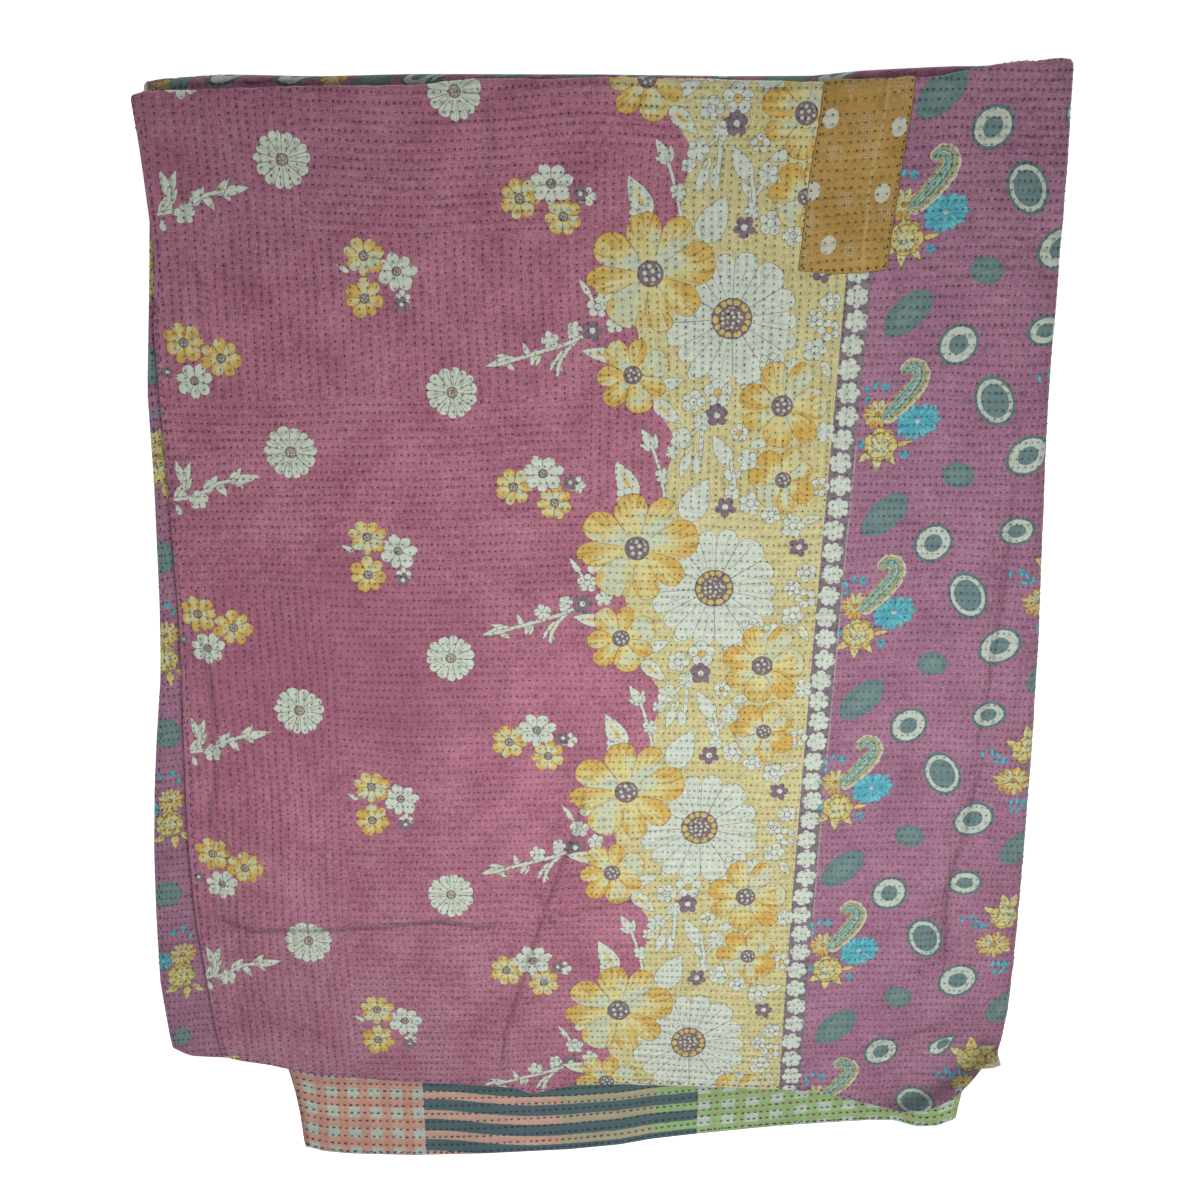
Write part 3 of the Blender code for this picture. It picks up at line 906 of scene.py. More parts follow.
def alongSpine(x, y, spine, half):
    # local coordinates for a tube round a line: how far past its ends, and
    # how far to its side, both in half widths
    half = np.broadcast_to(half, len(spine)).astype(float)
    best = np.full(x.shape, 1e9)
    u, v = np.zeros(x.shape), np.full(x.shape, 9.0)
    for i, ((ax, ay), (bx, by)) in enumerate(zip(spine, spine[1:])):
        dx, dy = bx - ax, by - ay
        long = math.hypot(dx, dy)
        along = ((x - ax) * dx + (y - ay) * dy) / long
        side = ((y - ay) * dx - (x - ax) * dy) / long
        k = np.clip(along / long, 0, 1)
        beyond = along - k * long
        past = beyond if i == 0 else np.maximum(beyond, 0)
        if i < len(spine) - 2:
            past = np.minimum(past, 0)
        wide = mix(half[i], half[i + 1], k)
        gap = np.hypot(beyond, side)
        # round on the outside of a bend
        side = np.copysign(np.hypot(side, beyond - past), side)
        closer = gap < best
        best = np.where(closer, gap, best)
        u = np.where(closer, past / wide, u)
        v = np.where(closer, side / wide, v)
    return u, v


def outlineEdge(u, v, size, petals, depth, power):
    # as the shader's motifOutline has it
    r, turn = np.hypot(u, v), np.arctan2(v, u)
    turn = turn + np.sin(turn * 3 + size) * 0.09
    step = turn * petals / (2 * math.pi) + 0.5
    cell = np.floor(step)
    chance = np.modf(np.sin(cell * 12.9898 + size * 4.1) * 437.58)[0] % 1
    reach = 1 - depth * abs((step - cell) * 2 - 1) ** power - chance * depth * 0.45
    if petals == 2:
        half = (1 - u) * np.sqrt(np.maximum(u + 1, 0)) * 0.9
        return (half - abs(v)) * size * 0.7
    return (reach - r) * size


# Each face of the printed side keeps the four topmost motifs that touch it.
cornerX, cornerY = cellCorners(flatX), cellCorners(flatY)
cellX, cellY = cornerX.mean(1), cornerY.mean(1)
cellReach = np.hypot(cornerX - cellX[:, None], cornerY - cellY[:, None]).max(1)
layers = 4
# shares of a cell's four corners in a grid of places inside it
gridU, gridV = np.meshgrid(np.linspace(0, 1, 6), np.linspace(0, 1, 6))
inCell = np.stack([
    (1 - gridU) * (1 - gridV), gridU * (1 - gridV), gridU * gridV,
    (1 - gridU) * gridV,
]).reshape(4, -1)
local = np.zeros((layers, len(cells), 4, 4))
local[..., :3] = 9.0, 9.0, 1.0
shape = np.zeros((layers, len(cells), 4, 4))
filled = np.zeros(len(cells), int)
for kind, mx, my, radius, turn, narrow, spine in motifs:
    petals, depth, power, centre, colouring = motifKinds[kind]
    if spine is None:
        far = radius
        within = (abs(cellX - mx) < far + 14) & (abs(cellY - my) < far + 14)
    else:
        xs, ys = np.array(spine).T
        far = float(np.max(radius)) * 1.1
        within = (
            (cellX > xs.min() - far - 14) & (cellX < xs.max() + far + 14)
            & (cellY > ys.min() - far - 14) & (cellY < ys.max() + far + 14)
        )
    at = np.flatnonzero(within & (filled < layers))
    if not len(at):
        continue

    def localAt(x, y):
        if spine is not None:
            return alongSpine(x, y, spine, radius)
        dx, dy = (x - mx) / radius, (y - my) / radius
        return (
            dx * math.cos(turn) + dy * math.sin(turn),
            (dy * math.cos(turn) - dx * math.sin(turn)) / narrow,
        )

    size = float(np.mean(radius)) * math.sqrt(narrow)
    u, v = localAt(cellX[at], cellY[at])
    reach = 1.04 + cellReach[at] / (size * (math.sqrt(narrow) if spine is None else 1))
    at = at[np.hypot(u, v) < reach]
    if not len(at):
        continue
    u, v = localAt(cornerX[at], cornerY[at])
    inside = outlineEdge(u @ inCell, v @ inCell, size, petals, depth, power)
    touched = inside.max(1) > -0.75
    at, u, v = at[touched], u[touched], v[touched]
    index = (colouring + 0.5) / 16
    local[filled[at], at] = np.stack(np.broadcast_arrays(u, v, size, index), -1)
    shape[filled[at], at] = petals, depth, power, centre
    filled[at] += 1
reverseCorners = sum(len(ring) for ring in reverse)


def atCorners(values, onReverse=None):
    values = values.reshape(len(cells) * 4, -1)
    if onReverse is None:
        onReverse = np.zeros((reverseCorners, values.shape[1]))
    return np.concatenate([values, onReverse])


for lay in range(layers):
    keepVector(quiltMesh, f"motif{lay}", atCorners(local[lay]), "CORNER")
    keepVector(quiltMesh, f"shape{lay}", atCorners(shape[lay]), "CORNER")

# Where the parts of the print meet: distance past the band's scalloped left edge, and
# from the middle of the strip of small flowers. Last, how strong the painted shade
# inside the turned-up hem is.
edgeLow = bandEdge[0][0]
bandY = (flatY - edgeLow) % printLook["bandRepeat"] + edgeLow
bandX = np.interp(bandY, *np.array(bandEdge, float).T)
bandX = bandX + drift(flatY) + printLook["bandShift"]
# painted shade: darker inside the turned-up hem
paintedHemShade = near(toLine(flatX, flatY, hemShadeLine)[0], 15)
keepVector(
    quiltMesh, "zones", atPoints(flatX - bandX, flatX - stripAt(flatY), paintedHemShade)
)
print("print laid on", int((filled > 0).sum()), "faces")

# distance from the nearest crease, to one side or the other, and how sharp the
# crease is there
nearest = np.full(flatX.shape, 1e9)
fromCrease, sharp = np.full(flatX.shape, 30.0), np.zeros(flatX.shape)
for points, depth in sharpCreases:
    gap, along = toLine(flatX, flatY, points)
    ends = stepUp(along / 0.12) * stepUp((1 - along) / 0.12)
    # the side, from the nearest piece of the line
    best, side = np.full(flatX.shape, 1e9), np.ones(flatX.shape)
    for (px, py), (qx, qy) in zip(points, points[1:]):
        away = toLine(flatX, flatY, [(px, py), (qx, qy)])[0]
        turn = (qx - px) * (flatY - py) - (qy - py) * (flatX - px)
        side = np.where(away < best, np.sign(turn), side)
        best = np.minimum(best, away)
    closer = gap < nearest
    nearest = np.where(closer, gap, nearest)
    fromCrease = np.where(closer, gap * side, fromCrease)
    sharp = np.where(closer, depth * ends * stepUp((16 - gap) / 8), sharp)
keepVector(quiltMesh, "creased", atPoints(fromCrease, sharp, 0))

# The running stitches: rows over most of the cloth, columns in some parts.
sewing = {
    "rowGap": 7.1,  # mm from row to row
    "pitch": 5.4,  # mm from stitch to stitch along a row
    "panelGap": 7.3,
    "panelPitch": 5.1,
    "columnGap": 7.3,
    "columnPitch": 5.7,
    "reverseGap": 9.2,
    "reversePitch": 6.6,
    "patchGap": 7.2,
    "patchPitch": 6.6,
    "stitch": 1.25,  # length of thread on top
    "thick": 1.55,
    "waver": 1.6,
    "spread": (0.7, 1.5),  # shortest and longest stitch, as shares of "stitch"
    "hemIn": 5.5,  # from a free edge to the hem's stitches
    "reverseSize": 2.3,  # of the reverse's stitches, against the front's
    "floorGap": 1.6,  # no stitch lies lower: the turned edges rest on the floor
    # where columns are sewn: y of the belt, x and y of the places at the left,
    # x and y of the part in the yellow band
    "belt": (176, 309),
    "left": (-235, 9),
    "inBand": (-8, 85, 375),
    "dark": (36, 24, 36),  # colours of thread
    "maroon": (84, 30, 44),
    "blue": (50, 62, 120),
    "reverse": (48, 44, 50),
    "black": (40, 32, 30),
}
waverNoise = [noiseField(11, (70, 40)), noiseField(12, (40, 70)),
              noiseField(13, (30, 30)), noiseField(14, (160, 160))]


def sewnUpright(x, y):
    # where the stitches run in columns: in a belt across the upper part, in
    # two places at the left, and in the yellow band
    beltLow, beltHigh = sewing["belt"]
    leftOf, below = sewing["left"]
    rightOf, bandLow, bandHigh = sewing["inBand"]
    panel = x > stripAt(y)
    belt = (y > beltLow) & (y < beltHigh)
    left = (x < leftOf) & ((y > beltLow) | (y < below))
    band = (x > rightOf) & (y > bandLow) & (y < bandHigh)
    return ~panel & (x < 400) & (belt | left | band)


def stitchPhase(x, y, upright, panel):
    # how many stitches along and how many rows up a place is
    w = sewing["waver"]
    gap = np.where(panel, sewing["panelGap"], sewing["rowGap"])
    pitch = np.where(panel, sewing["panelPitch"], sewing["pitch"])
    lean = 5.0 * waverNoise[3](x, y)
    row = (y + lean + w * waverNoise[0](x, y)) / gap
    along = (x + 2.0 * w * waverNoise[2](x, y)) / pitch
    column = (x + lean + w * waverNoise[1](x, y)) / sewing["columnGap"]
    down = (y + 2.0 * w * waverNoise[2](x, y)) / sewing["columnPitch"]
    return np.where(upright, down, along), np.where(upright, column, row)


def reversePhase(x, y):
    # the same on the under-leaf's reverse, y up from its hem
    along = x + 1.5 * waverNoise[2](x, y)
    return along / sewing["reversePitch"], (
        y + 1.2 * waverNoise[0](x, y)
    ) / sewing["reverseGap"]


sewnColumns = sewnUpright(cellX, cellY)[:, None]
onPanel = (cellX > stripAt(cellY))[:, None]
cornerAlong, cornerRow = stitchPhase(cornerX, cornerY, sewnColumns, onPanel)
under = (shareR > 1.5) & (shareS < 1.05)
reverseUp = np.where(under, layY - read(hem["frontUnder"], layX), layY)
reversePhases = atPoints(*reversePhase(layX, reverseUp), 0)
keepVector(
    quiltMesh, "quilting",
    atCorners(np.stack([
        cornerAlong, cornerRow, np.broadcast_to(sewnColumns, cornerRow.shape)
    ], -1), reversePhases[np.concatenate(reverse)]), "CORNER",
)


# Formulas for node trees: a Wire is one output, and sums of Wires and numbers
# make Math nodes.
class Wire:
    def __init__(self, tree, socket):
        self.tree, self.socket = tree, socket

    def math(self, operation, *others, clamp=False):
        node = self.tree.nodes.new("ShaderNodeMath")
        node.operation = operation
        node.use_clamp = clamp
        for socket, value in zip(node.inputs, (self, *others)):
            plug(self.tree, value, socket)
        return Wire(self.tree, node.outputs[0])

    def __add__(self, other):
        return self.math("ADD", other)

    def __sub__(self, other):
        return self.math("SUBTRACT", other)

    def __rsub__(self, other):
        return (self * -1) + other

    def __mul__(self, other):
        return self.math("MULTIPLY", other)

    def __truediv__(self, other):
        return self.math("DIVIDE", other)

    def __pow__(self, other):
        return self.math("POWER", other)

    def __abs__(self):
        return self.math("ABSOLUTE")

    def __gt__(self, other):
        return self.math("GREATER_THAN", other)

    def __lt__(self, other):
        return self.math("LESS_THAN", other)

    def ramp(self, low, high):
        # 0 at low, 1 at high, eased
        node = self.tree.nodes.new("ShaderNodeMapRange")
        node.interpolation_type = "SMOOTHSTEP"
        plug(self.tree, self, node.inputs["Value"])
        plug(self.tree, low, node.inputs["From Min"])
        plug(self.tree, high, node.inputs["From Max"])
        return Wire(self.tree, node.outputs["Result"])


def plug(tree, value, socket):
    if isinstance(value, Wire):
        tree.links.new(value.socket, socket)
    elif isinstance(value, tuple) and len(value) == 3 and socket.type == "RGBA":
        socket.default_value = (*value, 1)
    else:
        socket.default_value = value


def attribute(tree, name, out="Vector"):
    node = tree.nodes.new("ShaderNodeAttribute")
    node.attribute_name = name
    return Wire(tree, node.outputs[out])


def split(wire):
    node = wire.tree.nodes.new("ShaderNodeSeparateXYZ")
    plug(wire.tree, wire, node.inputs[0])
    return [Wire(wire.tree, out) for out in node.outputs]


def join(tree, x, y, z):
    node = tree.nodes.new("ShaderNodeCombineXYZ")
    for socket, value in zip(node.inputs, (x, y, z)):
        plug(tree, value, socket)
    return Wire(tree, node.outputs[0])


def tint(tree, share, a, b, how="MIX"):
    node = tree.nodes.new("ShaderNodeMix")
    node.data_type = "RGBA"
    node.blend_type = how
    # the factor, then the two colour sockets
    for socket, value in zip((node.inputs[0], node.inputs[6], node.inputs[7]),
                             (share, a, b)):
        plug(tree, value, socket)
    return Wire(tree, node.outputs[2])


def shaded(tree, colour, light):
    # the colour at this brightness
    return tint(tree, 1.0, colour, join(tree, light, light, light), "MULTIPLY")


def choose(tree, share, a, b):
    # a or b, each a number or a vector
    node = tree.nodes.new("ShaderNodeMix")
    isNumber = b.socket.type == "VALUE"
    node.data_type = "FLOAT" if isNumber else "VECTOR"
    node.clamp_factor = False
    first = 2 if isNumber else 4
    plug(tree, share, node.inputs[0])
    plug(tree, a, node.inputs[first])
    plug(tree, b, node.inputs[first + 1])
    return Wire(tree, node.outputs[0 if isNumber else 1])


def noise(tree, x, y, detail=1.0, rough=0.6):
    # flat noise with features about one unit of x and y across
    node = tree.nodes.new("ShaderNodeTexNoise")
    node.noise_dimensions = "2D"
    node.inputs["Scale"].default_value = 1.0
    node.inputs["Detail"].default_value = detail
    node.inputs["Roughness"].default_value = rough
    plug(tree, join(tree, x, y, 0.0), node.inputs["Vector"])
    return Wire(tree, node.outputs["Fac"])


def dots(tree, x, y, uneven):
    # distance to the nearest of about one dot in each unit of x and y
    node = tree.nodes.new("ShaderNodeTexVoronoi")
    node.voronoi_dimensions = "2D"
    node.inputs["Scale"].default_value = 1.0
    node.inputs["Randomness"].default_value = uneven
    plug(tree, join(tree, x, y, 0.0), node.inputs["Vector"])
    return Wire(tree, node.outputs["Distance"])


def paint(rgb):
    # linear colour of an sRGB one given out of 255
    return tuple(
        c / 12.92 if c <= 0.04045 else ((c + 0.055) / 1.055) ** 2.4
        for c in (v / 255 for v in rgb[:3])
    )


def newGroup(name, inputs, outputs):
    tree = bpy.data.node_groups.new(name, "ShaderNodeTree")
    for label, kind, value in inputs:
        socket = tree.interface.new_socket(
            label, in_out="INPUT", socket_type="NodeSocket" + kind
        )
        if value is not None:
            socket.default_value = value
    for label, kind in outputs:
        tree.interface.new_socket(
            label, in_out="OUTPUT", socket_type="NodeSocket" + kind
        )
    start = tree.nodes.new("NodeGroupInput")
    end = tree.nodes.new("NodeGroupOutput")
    return tree, {s.name: Wire(tree, s) for s in start.outputs if s.name}, end


def useGroup(tree, group, **values):
    node = tree.nodes.new("ShaderNodeGroup")
    node.node_tree = group
    for label, value in values.items():
        plug(tree, value, node.inputs[label])
    return {s.name: Wire(tree, s) for s in node.outputs}


def fromRamp(tree, share, stops, how="LINEAR"):
    # the colour at a share, from (share, colour) stops
    node = tree.nodes.new("ShaderNodeValToRGB")
    node.color_ramp.interpolation = how
    elements = node.color_ramp.elements
    while len(elements) < len(stops):
        elements.new(0.5)
    for i, (at, colour) in enumerate(stops):
        elements[i].position = at
        elements[i].color = (*colour, 1)
    plug(tree, share, node.inputs[0])
    return Wire(tree, node.outputs[0])


def byIndex(tree, index, colours):
    # one of up to 16 colours, by index (i + 0.5) / 16
    return fromRamp(
        tree, index, [(i / 16, c) for i, c in enumerate(colours)], "CONSTANT"
    )


def makeMotifOutline():
    # how far inside a motif's outline a place is, in mm
    tree, given, end = newGroup(
        "motifOutline",
        [("Place", "Vector", None), ("Shape", "Vector", None),
         ("Ragged", "Float", 0.5)],
        [("Edge", "Float")],
    )
    x, y, size = split(given["Place"])
    petals, depth, power = split(given["Shape"])
    r, _, across, chance = petalParts(x, y, size, petals)
    toGap = abs(across * 2 - 1)
    # petals differ in length
    reach = 1 - depth * toGap ** power - chance * depth * 0.45
    edge = (reach - r) * size
    # leaves are full near the stem and pointed at the tip
    half = (1 - x) * (x + 1).math("MAXIMUM", 0.0).math("SQRT") * 0.9
    leafEdge = (half - abs(y)) * size * 0.7
    isLeaf = abs(petals - 2) < 0.5
    edge = edge + (leafEdge - edge) * isLeaf
    edge = edge + (given["Ragged"] - 0.5) * 1.3
    plug(tree, edge, end.inputs["Edge"])
    return tree


def petalParts(x, y, size, petals):
    # radius, angle, share across the petal, the petal's own chance
    r = ((x * x) + (y * y)).math("SQRT")
    turn = y.math("ARCTAN2", x)
    turn = turn + (turn * 3.0 + size).math("SINE") * 0.09
    step = turn * petals / (2 * math.pi) + 0.5
    cell = step.math("FLOOR")
    chance = ((cell * 12.9898 + size * 4.1).math("SINE") * 437.58).math("FRACT")
    return r, turn, step - cell, chance


def makePrintedMotif():
    tree, given, end = newGroup(
        "printedMotif",
        [("Place", "Vector", None), ("Colouring", "Float", 0.0),
         ("Shape", "Vector", None), ("Centre", "Float", 0.0),
         ("Edge", "Float", 0.0), ("Flat", "Vector", None),
         ("Ragged", "Float", 0.5)],
        [("Colour", "Color")],
    )
    x, y, size = split(given["Place"])
    petals, _, _ = split(given["Shape"])
    colouring, centre, edge = given["Colouring"], given["Centre"], given["Edge"]
    ragged = given["Ragged"] - 0.5
    r, turn, across, chance = petalParts(x, y, size, petals)
    toGap = abs(across * 2 - 1)

    styles = byIndex(tree, colouring, [
        (row[4] / 4, row[5], row[6]) for row in colourings
    ])
    outlineWidth, whiteShare, centreStyle = split(styles)
    base, tips, middle, line = (
        byIndex(tree, colouring, [paint(row[k]) for row in colourings])
        for k in range(4)
    )
    isLeaf = abs(petals - 2) < 0.5
    isFlower, isDaisy = petals > 2.5, petals > 12.5

    # petals brushed in broad patches with fine strokes at their tips
    broad = noise(tree, across * 0.9 + chance * 37.0, r * 1.3 + size)
    strokes = noise(tree, turn * 12.0, r * 1.6 + size)
    tipShare = r + (broad - 0.5) * 2.2 + (strokes - 0.5) * 0.6
    tipShare = (tipShare + toGap * 0.3 - 0.3).ramp(0.2, 0.85) * 0.9
    rib = (abs(y) + (strokes - 0.5) * 0.5).ramp(0.30, 0.06)
    rib = rib * x.ramp(0.5, -0.2) * x.ramp(-0.8, -0.5)
    tipShare = tipShare + (rib - tipShare) * isLeaf
    petal = tint(tree, tipShare, base, tips)
    white = broad + (strokes - 0.5) * 0.25 + r * 0.16 - 0.1 - whiteShare
    white = white.ramp(0.06, -0.1) * 0.9
    petal = tint(tree, white, petal, paint(printLook["white"]))
    hatch = (turn * 38.0 + broad * 16.0).math("SINE").ramp(0.6, 0.95)
    hatch = hatch * r.ramp(0.35, 0.7) * whiteShare.ramp(0.1, 0.3) * (1 - white)
    hatch = hatch * strokes.ramp(0.35, 0.6)
    petal = tint(tree, hatch * 0.55, petal, line)

    # thin lines between petals, within the daisies' and round the outline
    perMm = r * size * 3.14 / (petals + 0.01)
    wavy = ragged * 0.7
    between = (1 - toGap) * perMm + wavy
    lines = between.ramp(0.5, 0.15) * isFlower * 0.8 * r.ramp(0.2, 0.35)
    fold = abs(across - 0.5 + (chance - 0.5) * 0.5) * perMm * 2
    fold = (fold + wavy).ramp(0.4, 0.1) * isDaisy * r.ramp(0.35, 0.5)
    fold = fold * chance.ramp(0.15, 0.3) * r.ramp(0.9, 0.8)
    petal = tint(tree, lines + fold * 0.65, petal, line)

    # the centre, its dots and, on the large daisies, its ovals
    hasDisc = centre > 0.01
    inDisc = ((centre - r) * size + ragged * 0.9).ramp(-0.15, 0.15) * hasDisc
    flatX, flatY, _ = split(given["Flat"])
    ringed = centreStyle > 0.75
    # as many dots in a small disc as in a large one
    noDisc = centre < 0.01
    perDisc = (ringed * 2.0 + 1.9) / (centre + 0.0001) * (1 - noDisc)
    spot = dots(
        tree, x * perDisc + flatX / 3.9 * noDisc, y * perDisc + flatY / 3.9 * noDisc,
        0.5,
    ).ramp(0.36, 0.26)
    dotted = centreStyle > 0.25
    rc = r / (centre + 0.001)
    spotReach = rc.ramp(0.86, 0.74) * (1 - ringed) + rc.ramp(0.6, 0.52) * ringed
    bead = (turn * 13 / (2 * math.pi)).math("FRACT") - 0.5
    bead = ((bead / 0.40) ** 2.0) + (((rc - 0.80) / 0.145) ** 2.0)
    bead = bead.ramp(1.15, 0.85) * ringed
    disc = tint(tree, spot * dotted * spotReach, middle, paint(printLook["white"]))
    disc = tint(tree, bead, disc, paint((196, 178, 104)))
    motif = tint(tree, inDisc, petal, disc)
    discRim = (abs(centre - r) * size + wavy).ramp(0.55, 0.15) * hasDisc
    motif = tint(tree, discRim * 0.8, motif, line)
    outlined = edge.ramp(outlineWidth * 4 + 0.25, outlineWidth * 4 - 0.1)
    motif = tint(tree, outlined, motif, line)

    # the paisley is printed in bands round its spine, winding in at its head
    bands = fromRamp(tree, r + ragged * 0.3 - turn * 0.13, [
        (at, paint(rgb)) for at, rgb in paisleyBands
    ])
    netted = tint(tree, spot * r.ramp(0.4, 0.25) * 0.5, bands, paint((86, 106, 96)))

    def has(kind):
        # whether the motif has the colouring of this kind
        return abs(colouring * 16 - (motifKinds[kind][4] + 0.5)) < 0.4

    motif = tint(tree, has("paisley"), motif, netted)
    # whorls of lines on roses
    isRose = has("rose")
    swirl = (r * 11 + turn * 2 + broad * 6).math("SINE").ramp(0.72, 0.97) * isRose
    motif = tint(tree, swirl * 0.75, motif, paint((112, 118, 84)))
    plug(tree, motif, end.inputs["Colour"])
    return tree


paisleyBands = [
    (0.0, (168, 182, 160)), (0.10, (84, 118, 112)), (0.16, (176, 190, 166)),
    (0.34, (62, 140, 150)), (0.46, (110, 172, 172)), (0.54, (186, 184, 130)),
    (0.66, (186, 140, 66)), (0.75, (104, 100, 72)), (0.79, (194, 202, 176)),
    (0.93, (150, 140, 100)), (0.97, (190, 198, 172)),
]
motifOutline = makeMotifOutline()
printedMotif = makePrintedMotif()


def makeSlubWeave():
    # plain weave of uneven threads, seen in colour and in relief
    tree, given, end = newGroup(
        "slubWeave",
        [("Flat", "Vector", None), ("Colour", "Color", (0.5, 0.2, 0.3, 1)),
         ("Shade", "Color", (0.4, 0.1, 0.2, 1)), ("Slub", "Float", 0.5),
         ("Fading", "Float", 0.5)],
        [("Colour", "Color"), ("Height", "Float")],
    )
    x, y, _ = split(given["Flat"])
    weft = noise(tree, x * 0.15, y * 1.3)
    warp = noise(tree, x * 1.3 + 90.0, y * 0.15)
    threads = (weft + warp) / 2.0
    patchy = noise(tree, x * 0.02, y * 0.02 + 40.0, 2.0)
    share = (threads.ramp(0.34, 0.66) - 0.5) * given["Slub"]
    share = (share + (patchy - 0.5) * given["Fading"] * 2.2).math(
        "ADD", 0.5, clamp=True
    )
    apart = 0.62  # mm from one thread to the next but one
    over = (x * 2 * math.pi / apart).math("SINE")
    under = (y * 2 * math.pi / apart).math("SINE")
    plug(tree, tint(tree, share, given["Shade"], given["Colour"]), end.inputs["Colour"])
    plug(tree, over * under * 0.05 + threads, end.inputs["Height"])
    return tree


slubWeave = makeSlubWeave()


def makeQuiltedRelief():
    # the puckers and dimples that rows of stitches pull into the cloth
    tree, given, end = newGroup(
        "quiltedRelief",
        [("Quilting", "Vector", None), ("Puff", "Float", 0.4),
         ("Dimple", "Float", 0.4), ("Ripple", "Float", 0.4)],
        [("Height", "Float"), ("Dimple", "Float")],
    )
    along, row, upright = split(given["Quilting"])
    line = row.math("FLOOR")
    fromRow = abs(row - line - 0.5)
    offset = (line * 1.3).math("SINE") * 0.16
    fromStitch = abs((along + offset).math("FRACT") - 0.5)
    puff = fromRow.ramp(0.0, 0.5) * 0.65 + fromStitch.ramp(0.45, 0.05) * -0.35 + 0.35
    dimple = fromRow.ramp(0.24, 0.04) * fromStitch.ramp(0.36, 0.12)
    ripple = noise(tree, along * 0.34, row * 1.1 + upright * 50.0)
    height = puff * given["Puff"] + (ripple - 0.5) * given["Ripple"] * 2.6
    height = height - dimple * given["Dimple"]
    plug(tree, height, end.inputs["Height"])
    plug(tree, dimple, end.inputs["Dimple"])
    return tree


quiltedRelief = makeQuiltedRelief()


def quilted(tree, **strengths):
    # the relief of the rows of stitches, at these strengths
    return useGroup(
        tree, quiltedRelief, Quilting=attribute(tree, "quilting"), **strengths
    )


def newMaterial(name):
    material = bpy.data.materials.new(name)
    material.use_nodes = True
    tree = material.node_tree
    return material, tree, tree.nodes["Principled BSDF"]


def finishCloth(tree, shader, colour, height, rough):
    bump = tree.nodes.new("ShaderNodeBump")
    bump.inputs["Distance"].default_value = mm
    bump.inputs["Strength"].default_value = printLook["relief"]
    plug(tree, height, bump.inputs["Height"])
    tree.links.new(bump.outputs["Normal"], shader.inputs["Normal"])
    plug(tree, colour, shader.inputs["Base Color"])
    plug(tree, rough, shader.inputs["Roughness"])
    shader.inputs["Specular IOR Level"].default_value = 0.25
    shader.inputs["Sheen Weight"].default_value = 0.08
    shader.inputs["Sheen Roughness"].default_value = 0.6


